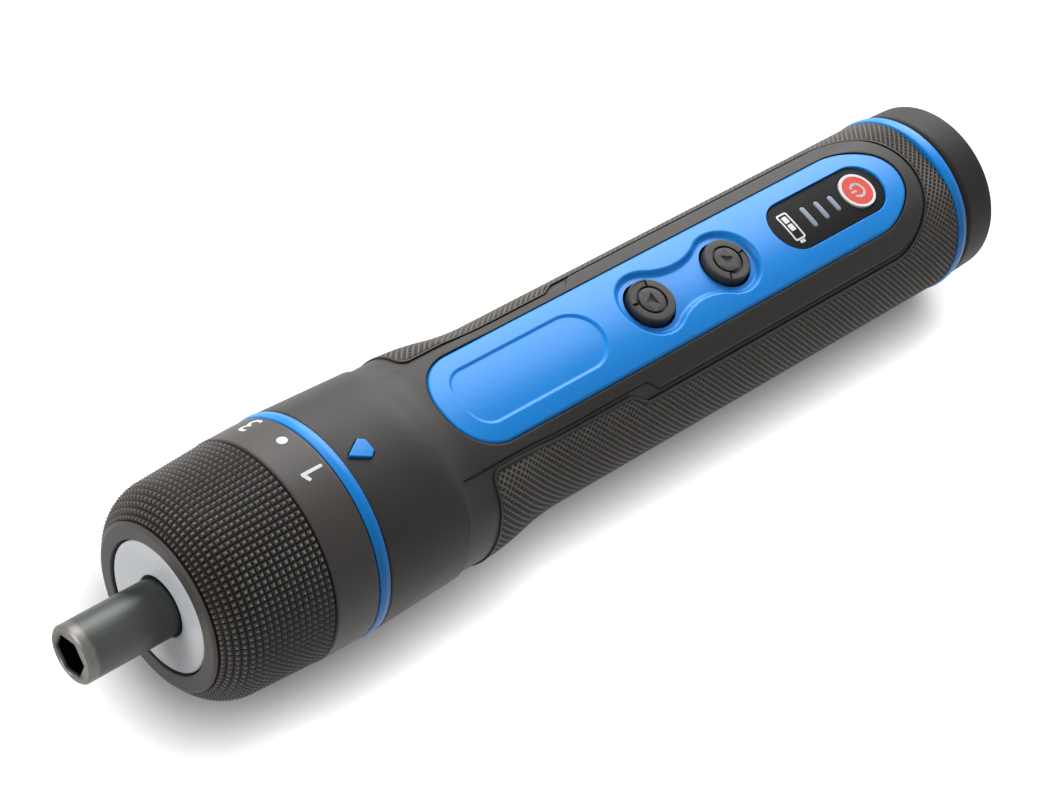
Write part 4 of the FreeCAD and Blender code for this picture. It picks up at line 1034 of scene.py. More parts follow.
@dataclass
class Crown:
    """The flat crown across the top of the body, from the panel to where the barrel is round."""

    centre: float = -13.1
    radius: float = 30.05
    panel_front: float = 134.95
    barrel_radius: float = 33.21
    barrel_round: float = 145.95
    soft: float = 0.4
    soft_front: float = 2.6
    soft_from: float = 116.0
    soft_to: float = 140.0

    def trim(self, radius: float, x: float, turn: float, lower: float) -> float:
        """Keep a radius under the crown, with a softened ridge.

        Args:
            radius: The body's radius.
            x: Place along the spindle.
            turn: Angle from the top.
            lower: How far under the crown it has to stay.

        Returns:
            The radius that is left.
        """
        crown = s_curve(x, self.panel_front, self.radius, self.barrel_round, self.barrel_radius) - lower
        aside = self.centre * math.sin(turn)
        limit = self.centre * math.cos(turn) + math.sqrt(crown ** 2 - aside ** 2)
        soft = s_curve(x, self.soft_from, self.soft, self.soft_to, self.soft_front)
        blend = max(soft - abs(limit - radius), 0.0)
        return min(radius, limit) - blend * blend / (4 * soft)

    def press(self, blank: Blank, surface: Callable[[float], float], lower: float) -> None:
        """Press a spun tube down under the crown, keeping its wall.

        Args:
            blank: The tube.
            surface: Gives its outer radius along the spindle.
            lower: How far under the crown it has to stay.
        """
        for vert in blank.bm.verts:
            radius = math.hypot(vert.co.y, vert.co.z)
            nominal = surface(vert.co.x)
            turn = math.atan2(vert.co.y, vert.co.z)
            kept = radius - nominal + self.trim(nominal, vert.co.x, turn, lower)
            vert.co.y *= kept / radius
            vert.co.z *= kept / radius


@dataclass
class Bezel:
    """The plan in which the housing shows: a land round the panel, and the whole barrel."""

    rear: float = 16.6
    half: float = 13.0
    front_half: float = 11.3
    jog: float = 92.6
    jog_length: float = 2.5
    jog_round: float = 0.9
    past: float = 170.0
    wide: float = 30.0
    overlap: float = 2.0

    def solid(self, gap: float, front: float, corner: float, later: float = 0.0) -> Blank:
        """Raise the plan into a solid that can cut the sleeve or the housing.

        Args:
            gap: How far the land is widened.
            front: Where the part that goes all round begins.
            corner: Radius of the corners there.
            later: How much later the land narrows.

        Returns:
            The solid.
        """
        half = self.half + gap
        narrow = self.front_half + gap
        curve = self.jog_round + later / 4
        jog_end = self.jog + self.jog_length + later * 1.4
        side = [(self.rear - gap, half, half), (self.jog + later, half, curve), (jog_end, narrow, curve),
                (front, narrow, corner), (front, self.wide, 0.0), (self.past, self.wide, 0.0)]
        blank = Blank()
        blank.prism([(x, -y, radius) for x, y, radius in side] + side[::-1], 0.0, self.wide)
        round_part = Blank()
        ends = rectangle(front, self.past, -self.wide, self.wide, 0.0)
        round_part.prism(ends, -self.wide, self.overlap)
        blank.carve(round_part, Cut.TOGETHER)
        return blank


@dataclass
class Selector:
    """The torque selector: a number band, a knurled skirt that rolls over the front, and a rim."""

    rear: float = 160.0
    rear_radius: float = 20.25
    band_front: float = 168.55
    band_radius: float = 20.15
    round_start: float = 181.2
    round_radius: float = 8.98
    shoulder: float = 19.4
    front: float = 189.2
    rim_outer: float = 14.5
    rim_edge: float = 15.1
    mouth: float = 12.0
    bore: float = 16.5
    inner_front: float = 183.2
    columns: int = 104
    rows: int = 18
    peak: float = 0.56
    roll: float = 58.0
    lead: float = 0.2
    band_begin: float = 0.8
    band_end: float = 0.6
    edge: float = 0.3
    rim_round: float = 0.12
    rim_step: float = 0.5
    crease: float = 24.0
    near: float = 0.01
    digit_place: float = 162.95
    digit_height: float = 4.2
    digit_first: float = 0.0
    digit_step: float = 48.0
    digit_stretch: float = 1.06
    digit_strip: float = 0.45
    digit_reach: float = 1.9
    bold: float = 0.004
    curve_steps: int = 8
    one: tuple[Corner, ...] = (
        (0.42, -1.9, 0.28), (1.04, -1.9, 0.28), (1.04, 2.35, 0.2), (0.5, 2.35, 0.15), (-0.78, 1.75, 0.2),
        (-0.62, 1.1, 0.24), (0.42, 1.5, 0.1))
    dot_radius: float = 0.93
    dot_steps: int = 28
    fine_chord: float = 0.1
    ink: float = 0.03
    print_dress: Dress = Dress("selector_plastic", "selector", finish=WHITE_PRINT)

    def band(self, x: float) -> float:
        """Give the number band's radius at a place along the spindle."""
        fall = (self.rear_radius - self.band_radius) / (self.band_front - self.rear)
        return self.rear_radius - fall * (x - self.rear)

    def station(self, share: float) -> tuple[float, float, float, float]:
        """Follow the floor of the knurling from the band to the rim.

        Args:
            share: How far along, from 0 to 1.

        Returns:
            The place along the spindle, the radius, and both parts of the outward direction.
        """
        begin = self.band_front + self.lead
        straight = self.round_start - begin
        floor_round = self.round_radius - self.peak
        way = share * (straight + floor_round * math.radians(self.roll))
        if way <= straight:
            slope = (self.shoulder - self.band_radius) / (self.round_start - self.band_front)
            return begin + way, self.shoulder - self.peak - slope * (straight - way), -slope, 1.0
        angle = (way - straight) / floor_round
        centre = self.shoulder - self.round_radius
        outwards = (math.sin(angle), math.cos(angle))
        x = self.round_start + floor_round * outwards[0]
        return x, centre + floor_round * outwards[1], *outwards

    def profile(self, stations: Sequence[tuple[float, float, float, float]]) -> list[Corner]:
        """Draw the half section, with the floor of the knurling.

        Args:
            stations: The places that the knurling's floor goes through.

        Returns:
            The section's corners.
        """
        drop = self.rim_edge - self.shoulder + self.round_radius
        rim = self.round_start + math.sqrt(self.round_radius ** 2 - drop ** 2)
        corners = [(self.rear, self.bore, 0.0), (self.rear, self.rear_radius, self.edge)]
        plain = (self.rear + self.band_begin, self.band_front - self.band_end)
        corners += [(x, self.band(x), 0.0) for x in plain]
        corners.append((self.band_front, self.band_radius, self.lead))
        corners += [(x, radius, 0.0) for x, radius, _, _ in stations]
        corners += [(rim, self.rim_edge, self.rim_round), (self.front, self.rim_outer, self.edge),
                    (self.front, self.rim_outer - self.rim_step, 0.0),
                    (self.front, self.mouth + self.rim_step, 0.0), (self.front, self.mouth, self.edge),
                    (self.inner_front, self.mouth, 0.0), (self.inner_front, self.bore, 0.0)]
        return corners

    def make_body(self) -> bpy.types.Object:
        """Spin the selector's profile and raise the pyramids of its knurling."""
        blank = Blank()
        tip = blank.bm.verts.layers.float.new(TIP)
        halves = self.rows * 2
        stations = [self.station(index / halves) for index in range(halves + 1)]
        steps = self.columns * 2
        blank.turn(blank.outline(self.profile(stations), Plane.PROFILE), steps)
        by_place = {round(spot[0], 3): index for index, spot in enumerate(stations)}
        floor = set()
        for vert in blank.bm.verts:
            index = by_place.get(round(vert.co.x, 3))
            radius = math.hypot(vert.co.y, vert.co.z)
            if index is None or abs(radius - stations[index][1]) > self.near:
                vert[tip] = PLAIN
                continue
            floor.add(vert)
            column = round(math.atan2(-vert.co.y, vert.co.z) / FULL_TURN * steps)
            # Points get the mark 1, lightened as wear and painted highlight; the rest of the floor keeps
            # 0, darkened as painted shade.
            if index % 2 and column % 2:
                vert[tip] = 1.0
                vert.co.x += self.peak * stations[index][2]
                grown = 1 + self.peak * stations[index][3] / radius
                vert.co.y *= grown
                vert.co.z *= grown
        knurled = [face for face in blank.bm.faces if floor.issuperset(face.verts)]
        bmesh.ops.triangulate(blank.bm, faces=knurled, quad_method="LONG_EDGE")
        dress = Dress("selector_plastic", "selector", ("selector_ring",))
        return blank.piece("selector_knurled", dress, self.crease)

    def wrap(self, blank: Blank, angle: float) -> None:
        """Lay a flat mark on the number band.

        Args:
            blank: The mark, drawn flat with its top towards +Y.
            angle: Where round the band its middle goes, in degrees from the pointer towards +Y.
        """
        for vert in blank.bm.verts:
            across, up, proud = vert.co
            x = self.digit_place + up
            radius = self.band(x)
            turn = math.radians(angle) - across / radius
            radius += proud
            vert.co = Vector((x, radius * math.sin(turn), radius * math.cos(turn)))

    def make_one(self, angle: float) -> bpy.types.Object:
        """Print the number 1: a stem with a slanted flag.

        Args:
            angle: Where round the band it goes, in degrees.

        Returns:
            The piece.
        """
        blank = Blank(self.fine_chord)
        blank.chip(blank.outline(self.one, height=-self.ink), [(0.0, self.ink * 2)])
        blank.mend()
        self.wrap(blank, angle)
        return blank.piece("selector_digit_1", self.print_dress)

    def make_digit(self, text: str, angle: float) -> bpy.types.Object:
        """Print one number on the band.

        Args:
            text: The number.
            angle: Where round the band it goes, in degrees.

        Returns:
            The piece.
        """
        curve = bpy.data.curves.new("digit", "FONT")
        curve.body = text
        curve.extrude = self.ink
        curve.offset = self.bold
        curve.resolution_u = self.curve_steps
        writing = show("digit", curve)
        blank = Blank()
        blank.bm.from_mesh(writing.evaluated_get(bpy.context.evaluated_depsgraph_get()).to_mesh())
        bpy.data.objects.remove(writing)
        bpy.data.curves.remove(curve)
        low = Vector([min(vert.co[axis] for vert in blank.bm.verts) for axis in range(2)])
        high = Vector([max(vert.co[axis] for vert in blank.bm.verts) for axis in range(2)])
        middle = (low + high) / 2
        size = self.digit_height / (high.y - low.y)
        bmesh.ops.translate(blank.bm, vec=(-middle.x, -middle.y, 0.0), verts=blank.bm.verts)
        bmesh.ops.scale(blank.bm, vec=(size * self.digit_stretch, size, 1.0), verts=blank.bm.verts)
        blank.slice_across(self.digit_reach, self.digit_strip, (1.0, 0.0, 0.0))
        blank.mend()
        self.wrap(blank, angle)
        return blank.piece(f"selector_digit_{text}", self.print_dress)

    def make_dot(self, number: int, angle: float) -> bpy.types.Object:
        """Print one dot between two numbers.

        Args:
            number: Its place in the row, from 1.
            angle: Where round the band it goes, in degrees.

        Returns:
            The piece.
        """
        blank = Blank()
        disc = blank.circle(0.0, self.dot_radius, -self.ink, self.dot_steps)
        face = blank.chip(disc, [(0.0, self.ink * 2), (self.dot_radius / 2, 0.0)])
        bmesh.ops.poke(blank.bm, faces=[face])
        blank.mend()
        self.wrap(blank, angle)
        return blank.piece(f"selector_dot_{number}", self.print_dress)

    def build(self) -> None:
        """Build the selector and its numbers."""
        self.make_body()
        self.make_one(self.digit_first)
        for index, text in enumerate(("3", "5")):
            self.make_dot(index + 1, self.digit_first - self.digit_step * (index + 0.5))
            self.make_digit(text, self.digit_first - self.digit_step * (index + 1))


@dataclass
class Grip:
    """The rubber sleeve: a raised net with a plain border, and a smooth channel round it."""

    rear: float = 11.35
    front: float = 139.55
    radius: float = 17.55
    crest: float = 19.65
    flare_start: float = 113.0
    flare_end: float = 134.0
    thickness: float = 1.5
    field_front: float = 132.8
    field_corner: float = 1.8
    cell: float = 0.645
    around: int = 172
    valley: float = 0.36
    sink: float = 0.05
    seam: float = 0.08
    seam_corner: float = 1.6
    margin: float = 0.8
    border: float = 0.35
    later: float = 3.0
    channel: float = 0.34
    under_crown: float = 0.2
    steps: int = 200
    crease: float = 10.0
    plain_step: float = 8.0
    plain_count: int = 13
    front_gap: float = 0.03
    after_flare: tuple[float, ...] = (1.5, 3.0)
    lip: float = 1.0
    inner_every: int = 8
    near: float = 0.01
    bezel: Bezel = field(default_factory=Bezel)
    crown: Crown = field(default_factory=Crown)

    def surface(self, x: float) -> float:
        """Give the sleeve's radius at a place along the spindle."""
        return s_curve(x, self.flare_start, self.radius, self.flare_end, self.crest)

    def zone(self, gap: float) -> Blank:
        """Give the solid outside which the net lies, moved out by a gap."""
        front = self.field_front - gap
        return self.bezel.solid(self.margin + gap, front, self.field_corner, self.later)

    def make_field(self) -> None:
        """Spin the net, press every other point of its grid in, and raise ridges between the rest."""
        blank = Blank()
        tip = blank.bm.verts.layers.float.new(TIP)
        count = math.ceil((self.field_front - self.rear) / self.cell)
        pitch = (self.field_front - self.rear) / count
        places = [self.rear + pitch * index for index in range(count + 1)]
        outer = [(x, self.surface(x) - self.sink, 0.0) for x in places]
        inner_places = reversed(places[::self.inner_every] + [places[-1]])
        inner = [(x, self.surface(x) - self.thickness, 0.0) for x in inner_places]
        blank.turn(blank.outline(outer + inner, Plane.PROFILE), self.around)
        high = set()
        low = set()
        for vert in blank.bm.verts:
            if math.hypot(vert.co.y, vert.co.z) < self.surface(vert.co.x) - self.sink - self.near:
                continue
            row = round((vert.co.x - self.rear) / pitch)
            column = round(math.atan2(-vert.co.y, vert.co.z) / FULL_TURN * self.around)
            (high if (row + column) % 2 else low).add(vert)
        self.crown.press(blank, self.surface, self.under_crown)
        for vert in low:
            radius = math.hypot(vert.co.y, vert.co.z)
            vert.co.y *= 1 - self.valley / radius
            vert.co.z *= 1 - self.valley / radius
        # Points get the mark 1, lightened as wear and painted highlight; the pressed-in points keep 0,
        # darkened as painted shade.
        for vert in high:
            vert[tip] = 1.0
        for face in list(blank.bm.faces):
            ends = [vert for vert in face.verts if vert in high]
            if len(ends) == 2 and len(face.verts) == 4:
                bmesh.utils.face_split(face, *ends)
        blank.carve(self.zone(self.border), Cut.AWAY)
        dress = Dress("grip_rubber", "housing", ("grip_sleeve",))
        blank.piece("grip_field", dress, self.crease, level=False)

    def make_sleeve(self, depth: float) -> Blank:
        """Spin a smooth sleeve that lies a depth under the net's points.

        Args:
            depth: That depth.

        Returns:
            The sleeve.
        """
        blank = Blank()
        places = [self.rear + self.plain_step * index for index in range(self.plain_count)]
        flare = int(self.flare_end - self.flare_start)
        places += [self.flare_start + index for index in range(flare + 1)]
        places += [self.flare_end + step for step in self.after_flare]
        places += [self.front - self.lip, self.front]
        outer = [(x, self.surface(x) - depth, 0.0) for x in places]
        inner = [(x, self.surface(x) - self.thickness, 0.0) for x in reversed(places)]
        blank.turn(blank.outline(outer + inner, Plane.PROFILE), self.steps)
        self.crown.press(blank, self.surface, self.under_crown)
        return blank

    def build(self) -> None:
        """Build the net, its border and the smooth channel."""
        self.make_field()
        dress = Dress("grip_rubber", "housing", ("grip_sleeve",), SMOOTH_RUBBER)
        rim = self.make_sleeve(0.0)
        rim.carve(self.zone(self.border), Cut.WITHIN)
        rim.carve(self.zone(0.0), Cut.AWAY)
        rim.piece("grip_border", dress)
        smooth = self.make_sleeve(self.channel)
        smooth.carve(self.zone(self.border / 2), Cut.WITHIN)
        land = self.bezel.solid(self.seam, self.front + self.front_gap, self.seam_corner)
        smooth.carve(land, Cut.AWAY)
        smooth.piece("grip_margin", dress)


@dataclass
class Housing:
    """The housing's skin: the land round the panel and the whole barrel, in one smooth moulding."""

    radius: float = 17.9
    crest: float = 19.75
    flare_start: float = 113.0
    flare_end: float = 134.0
    barrel_rear: float = 139.6
    front: float = 157.6
    front_radius: float = 20.35
    front_round: float = 0.25
    wall: float = 1.4
    steps: int = 240
    runs: tuple[tuple[float, float, int], ...] = (
        (15.6, 0.6, 9), (24.0, 8.0, 12), (113.0, 0.75, 48), (150.0, 1.5, 5), (157.0, 0.0, 1))
    corner: float = 1.6
    panel_gap: float = 0.1
    pointer_gap: float = 0.16
    above: float = 30.0
    pocket_floor: float = 5.0
    pocket_chord: float = 0.15
    bezel: Bezel = field(default_factory=Bezel)
    crown: Crown = field(default_factory=Crown)

    def surface(self, x: float) -> float:
        """Give the housing's radius at a place along the spindle."""
        if x > self.barrel_rear:
            share = (x - self.barrel_rear) / (self.front - self.barrel_rear)
            return self.crest + share * (self.front_radius - self.crest)
        return s_curve(x, self.flare_start, self.radius, self.flare_end, self.crest)

    def build(self, panel: ControlPanel, pointer: Pointer) -> None:
        """Spin the skin and cut its plan and its pockets.

        Args:
            panel: The panel that it holds.
            pointer: The pointer that it holds.
        """
        blank = Blank()
        places = [start + step * index for start, step, count in self.runs for index in range(count)]
        outer = [(x, self.surface(x), 0.0) for x in places]
        outer.append((self.front, self.front_radius, self.front_round))
        inner = [(x, self.surface(x) - self.wall, 0.0) for x in reversed(places + [self.front])]
        blank.turn(blank.outline(outer + inner, Plane.PROFILE), self.steps)
        self.crown.press(blank, self.surface, 0.0)
        blank.carve(self.bezel.solid(0.0, self.barrel_rear, self.corner), Cut.WITHIN)
        for plan in (panel.plan(self.panel_gap), pointer.plan(self.pointer_gap)):
            pocket = Blank(self.pocket_chord)
            pocket.prism(plan, self.pocket_floor, self.above)
            blank.carve(pocket, Cut.AWAY)
        shells = ("upper_shell", "lower_shell")
        blank.piece("housing_skin", Dress("housing_plastic", "housing", shells))


@dataclass
class ControlPanel:
    """The crowned blue panel with a label pocket, a button recess and an opening for the plate."""

    rear: float = 19.5
    front: float = 134.9
    half: float = 9.5
    nose: float = 7.5
    shoulder: float = 15.0
    corner: float = 9.0
    crown: float = 30.0
    crest: float = 16.9
    depth: float = 1.7
    label_rear: float = 97.65
    label_front: float = 130.9
    label_half: float = 6.2
    label_corner: float = 4.8
    pill_rear: float = 24.5
    pill_front: float = 53.5
    pill_half: float = 5.4
    pill_gap: float = 0.2
    reverse_x: float = 66.15
    forward_x: float = 85.4
    lobe: float = 7.2
    waist: float = 4.6
    hole: float = 5.0
    hole_steps: int = 64
    recess: float = 1.1
    strip: float = 0.6
    edge_start: float = -0.75
    edge: tuple[Step, ...] = ((0.06, 0.3), (0.12, 0.22), (0.18, 0.15), (0.25, 0.08), (0.2, 0.0))
    label_wall: tuple[Step, ...] = (
        (0.12, 0.0), (0.16, -0.03), (0.16, -0.09), (0.16, -0.14), (0.16, -0.1), (0.16, -0.04), (0.15, 0.0))
    recess_wall: tuple[Step, ...] = (
        (0.1, 0.0), (0.2, -0.05), (0.24, -0.16), (0.22, -0.3), (0.24, -0.3), (0.26, -0.2), (0.3, -0.09),
        (0.15, 0.0))
    pill_wall: tuple[Step, ...] = ((0.04, 0.0), (0.05, -0.03), (0.06, -0.08), (0.05, -0.14))

    def plan(self, gap: float) -> list[Corner]:
        """Draw the panel's outline, widened by a gap."""
        return oval(self.rear - gap, self.front + gap, self.half + gap, self.nose + gap,
                    self.shoulder + gap, self.corner + gap)

    def height(self, place: Vector) -> float:
        """Give the crown's height at a place."""
        return self.crest - self.crown + math.sqrt(self.crown ** 2 - place.y ** 2)

    def recess_plan(self) -> list[Corner]:
        """Draw the recess as two round lobes joined by a waist."""
        middle = (self.reverse_x + self.forward_x) / 2
        apart = (self.forward_x - self.reverse_x) / 2
        hollow = (self.waist ** 2 + apart ** 2 - self.lobe ** 2) / (2 * (self.lobe - self.waist))
        lean = math.atan2(apart, self.waist + hollow)
        reach = apart - self.lobe * math.tan(lean / 2)
        side = [(apart + self.lobe, self.lobe, self.lobe), (reach, self.lobe, self.lobe),
                (0.0, self.waist + hollow - hollow / math.cos(lean), hollow),
                (-reach, self.lobe, self.lobe), (-apart - self.lobe, self.lobe, self.lobe)]
        side = [(middle + x, y, radius) for x, y, radius in side]
        return side + [(x, -y, radius) for x, y, radius in reversed(side)]

    def build(self) -> None:
        """Build the panel flat, then bend it over its crown."""
        blank = Blank()
        outline = blank.outline(self.plan(0.0), height=self.edge_start)
        under, body = blank.step_in(outline, self.edge)
        top = blank.open(body)
        plan = shield(self.label_rear, self.label_front, self.label_half, self.label_corner)
        label, _ = blank.step_in(blank.outline(plan), self.label_wall)
        recess, floor = blank.step_in(blank.outline(self.recess_plan()), self.recess_wall)
        around = blank.open(floor)
        holes = [blank.circle(x, self.hole, -self.recess, self.hole_steps)
                 for x in (self.reverse_x, self.forward_x)]
        blank.web(around, *holes)
        wide = self.pill_half + self.pill_gap
        plan = shield(self.pill_rear - self.pill_gap, self.pill_front + self.pill_gap, wide, wide)
        pill, mouth = blank.step_in(blank.outline(plan), self.pill_wall)
        blank.web(top, label, recess, pill)
        lower = [blank.drop(blank.open(mouth), -self.depth), blank.drop(under, -self.depth)]
        lower += [blank.drop(hole, -self.depth) for hole in holes]
        blank.web(*lower)
        blank.mend()
        blank.slice_across(self.half, self.strip)
        blank.lift(self.height)
        blank.piece("panel_cover", Dress("blue_plastic", "housing", ("control_panel",)))


@dataclass
class IndicatorPlate:
    """The dark plate in the panel, with its light bars and a printed battery sign."""

    rear: float = 24.55
    front: float = 53.45
    half: float = 5.35
    crown: float = 29.6
    centre: float = -13.1
    depth: float = 1.6
    power_x: float = 30.55
    power_hole: float = 4.05
    bar_x: float = 36.95
    bar_pitch: float = 3.5
    bar_width: float = 1.3
    bar_lengths: tuple[float, ...] = (3.7, 4.3, 4.9)
    bar_gap: float = 0.06
    bar_sunk: float = 0.08
    bar_dome: tuple[Step, ...] = ((0.06, 0.06), (0.12, 0.04), (0.2, 0.02))
    hole_steps: int = 56
    edge_start: float = -0.25
    edge: tuple[Step, ...] = ((0.05, 0.13), (0.1, 0.09), (0.12, 0.03))
    strip: float = 0.8
    bar_reach: float = 2.6
    chord: float = 0.2
    bar_chord: float = 0.15
    sign_chord: float = 0.12
    sign_x: float = 48.9
    sign_length: float = 6.2
    sign_width: float = 2.7
    sign_strip: float = 0.5
    sign_corner: float = 0.5
    hollow_corner: float = 0.25
    terminal_gap: float = 0.42
    terminal_half: float = 0.62
    terminal_reach: float = 0.3
    terminal_corner: float = 0.12
    cell_share: float = 0.27
    cell_start: float = 0.42
    cell_gap: float = 0.34
    cell_side: float = 0.4
    cell_corner: float = 0.15
    sign_past: float = 0.8
    stroke: float = 0.36
    ink: float = 0.025

    def height(self, place: Vector) -> float:
        """Give the plate's height at a place."""
        return self.centre + math.sqrt(self.crown ** 2 - place.y ** 2)

    def bar(self, index: int, gap: float) -> list[Corner]:
        """Draw one light bar, widened by a gap."""
        x = self.bar_x + self.bar_pitch * index
        half = self.bar_width / 2 + gap
        reach = self.bar_lengths[index] / 2 + gap
        return rectangle(x - half, x + half, -reach, reach, half)

    def make_plate(self) -> None:
        """Build the plate with its openings."""
        blank = Blank(self.chord)
        plan = shield(self.rear, self.front, self.half, self.half)
        under, face = blank.step_in(blank.outline(plan, height=self.edge_start), self.edge)
        top = blank.open(face)
        holes = [blank.circle(self.power_x, self.power_hole, 0.0, self.hole_steps)]
        bars = range(len(self.bar_lengths))
        holes += [blank.outline(self.bar(index, self.bar_gap)) for index in bars]
        blank.web(top, *holes)
        lower = [blank.drop(edges, -self.depth) for edges in (under, *holes)]
        blank.web(*lower)
        blank.mend()
        blank.slice_across(self.half, self.strip)
        blank.lift(self.height)
        blank.piece("indicator_face", Dress("plate_plastic", "housing", ("indicator_plate",)))

    def make_bars(self) -> None:
        """Build the light bars, slightly domed."""
        blank = Blank(self.bar_chord)
        for index in range(len(self.bar_lengths)):
            edges = blank.outline(self.bar(index, 0.0), height=-self.depth)
            blank.terrace(blank.pillar(edges, -self.bar_sunk), self.bar_dome)
        blank.mend()
        blank.slice_across(self.bar_reach, self.strip)
        blank.lift(self.height)
        blank.piece("light_bar_caps", Dress("light_guide", "housing", ("light_bars",)))

    def make_sign(self) -> None:
        """Print the battery sign: a frame with a terminal and two filled cells."""
        blank = Blank(self.sign_chord)
        reach = self.sign_length / 2
        half = self.sign_width / 2
        inset = self.stroke
        frame = self.box(blank, 0.0, half, reach, self.sign_corner)
        hollow = self.box(blank, 0.0, half - inset, reach - inset, self.hollow_corner)
        blank.web(frame, hollow)
        terminal = self.box(blank, reach + self.terminal_gap, self.terminal_half, self.terminal_reach,
                            self.terminal_corner)
        blank.sheet(terminal)
        cell_reach = (reach - inset) * self.cell_share
        cell_half = half - inset - self.cell_side
        for number in range(2):
            passed = number * (cell_reach * 2 + self.cell_gap)
            middle = -reach + inset + self.cell_start + cell_reach + passed
            blank.sheet(self.box(blank, middle, cell_half, cell_reach, self.cell_corner))
        blank.thicken(self.ink * 2)
        blank.slice_across(reach + self.sign_past, self.sign_strip)
        blank.mend()
        blank.lift(self.height)
        blank.piece("battery_sign", Dress("plate_plastic", "housing", finish=WHITE_PRINT))

    def box(self, blank: Blank, y: float, half: float, reach: float, corner: float) -> list[BMEdge]:
        """Draw a rounded rectangle of the sign.

        Args:
            blank: The mesh to draw in.
            y: Place of its middle across the spindle.
            half: Half its size along the spindle.
            reach: Half its size across the spindle.
            corner: Radius of its corners.

        Returns:
            Its edges.
        """
        x = self.sign_x
        plan = rectangle(x - half, x + half, y - reach, y + reach, corner)
        return blank.outline(plan, height=self.ink)

    def build(self) -> None:
        """Build the plate, the bars and the sign."""
        self.make_plate()
        self.make_bars()
        self.make_sign()


@dataclass
class PowerButton:
    """The round power button: white border, red face and a white power sign."""

    x: float = 30.55
    radius: float = 3.8
    top: float = 16.7
    bottom: float = 14.9
    face_radius: float = 3.2
    sign_radius: float = 1.4
    stroke: float = 0.54
    gap: float = 34.0
    bar_from: float = 0.2
    bar_to: float = 1.65
    ink: float = 0.03
    edge_start: float = 0.2
    edge: tuple[Step, ...] = ((0.02, 0.12), (0.04, 0.06), (0.05, 0.02))
    face_start: float = 0.05
    face_edge: tuple[Step, ...] = ((0.0, 0.06), (0.04, 0.025))
    sign_rise: float = 0.035
    sign_steps: int = 40
    steps: int = 64
    face_steps: int = 56
    bar_round: float = 0.9

    def make_cap(self) -> None:
        """Build the white cap."""
        blank = Blank()
        disc = blank.circle(self.x, self.radius, self.bottom, self.steps)
        blank.terrace(blank.pillar(disc, self.top - self.edge_start), self.edge)
        blank.mend()
        dress = Dress("power_red", "power_button", ("power_button",), WHITE_BORDER)
        blank.piece("power_cap", dress)

    def make_face(self) -> None:
        """Build the red face, a thin disc on the cap."""
        blank = Blank()
        bottom = self.top - self.face_start
        disc = blank.circle(self.x, self.face_radius, bottom, self.face_steps)
        blank.chip(disc, self.face_edge)
        blank.mend()
        blank.piece("power_face", Dress("power_red", "power_button"))

    def make_sign(self) -> None:
        """Print the power sign: a ring open towards the bars, and a stroke through the opening."""
        blank = Blank()
        half = self.stroke / 2
        opening = math.radians(self.gap)
        ends = [blank.bm.verts.new((radius, 0.0, 0.0))
                for radius in (self.sign_radius - half, self.sign_radius + half)]
        edge = blank.bm.edges.new(ends)
        turn = Matrix.Rotation(opening, 3, "Z")
        bmesh.ops.rotate(blank.bm, cent=(0.0, 0.0, 0.0), matrix=turn, verts=ends)
        bmesh.ops.spin(blank.bm, geom=[*ends, edge], cent=(0.0, 0.0, 0.0), axis=(0.0, 0.0, 1.0),
                       angle=FULL_TURN - 2 * opening, steps=self.sign_steps, use_merge=False,
                       use_duplicate=False)
        bar = rectangle(self.bar_from, self.bar_to, -half, half, half * self.bar_round)
        blank.sheet(blank.outline(bar))
        level = self.top + self.sign_rise
        bmesh.ops.translate(blank.bm, vec=(self.x, 0.0, level), verts=blank.bm.verts)
        blank.thicken(self.ink)
        blank.mend()
        blank.piece("power_sign", Dress("power_red", "power_button", finish=WHITE_PRINT))

    def build(self) -> None:
        """Build the cap, its face and its sign."""
        self.make_cap()
        self.make_face()
        self.make_sign()


class Way(Enum):
    """The way that a direction button turns the spindle, with its own marks."""

    FORWARD = "forward"
    REVERSE = "reverse"


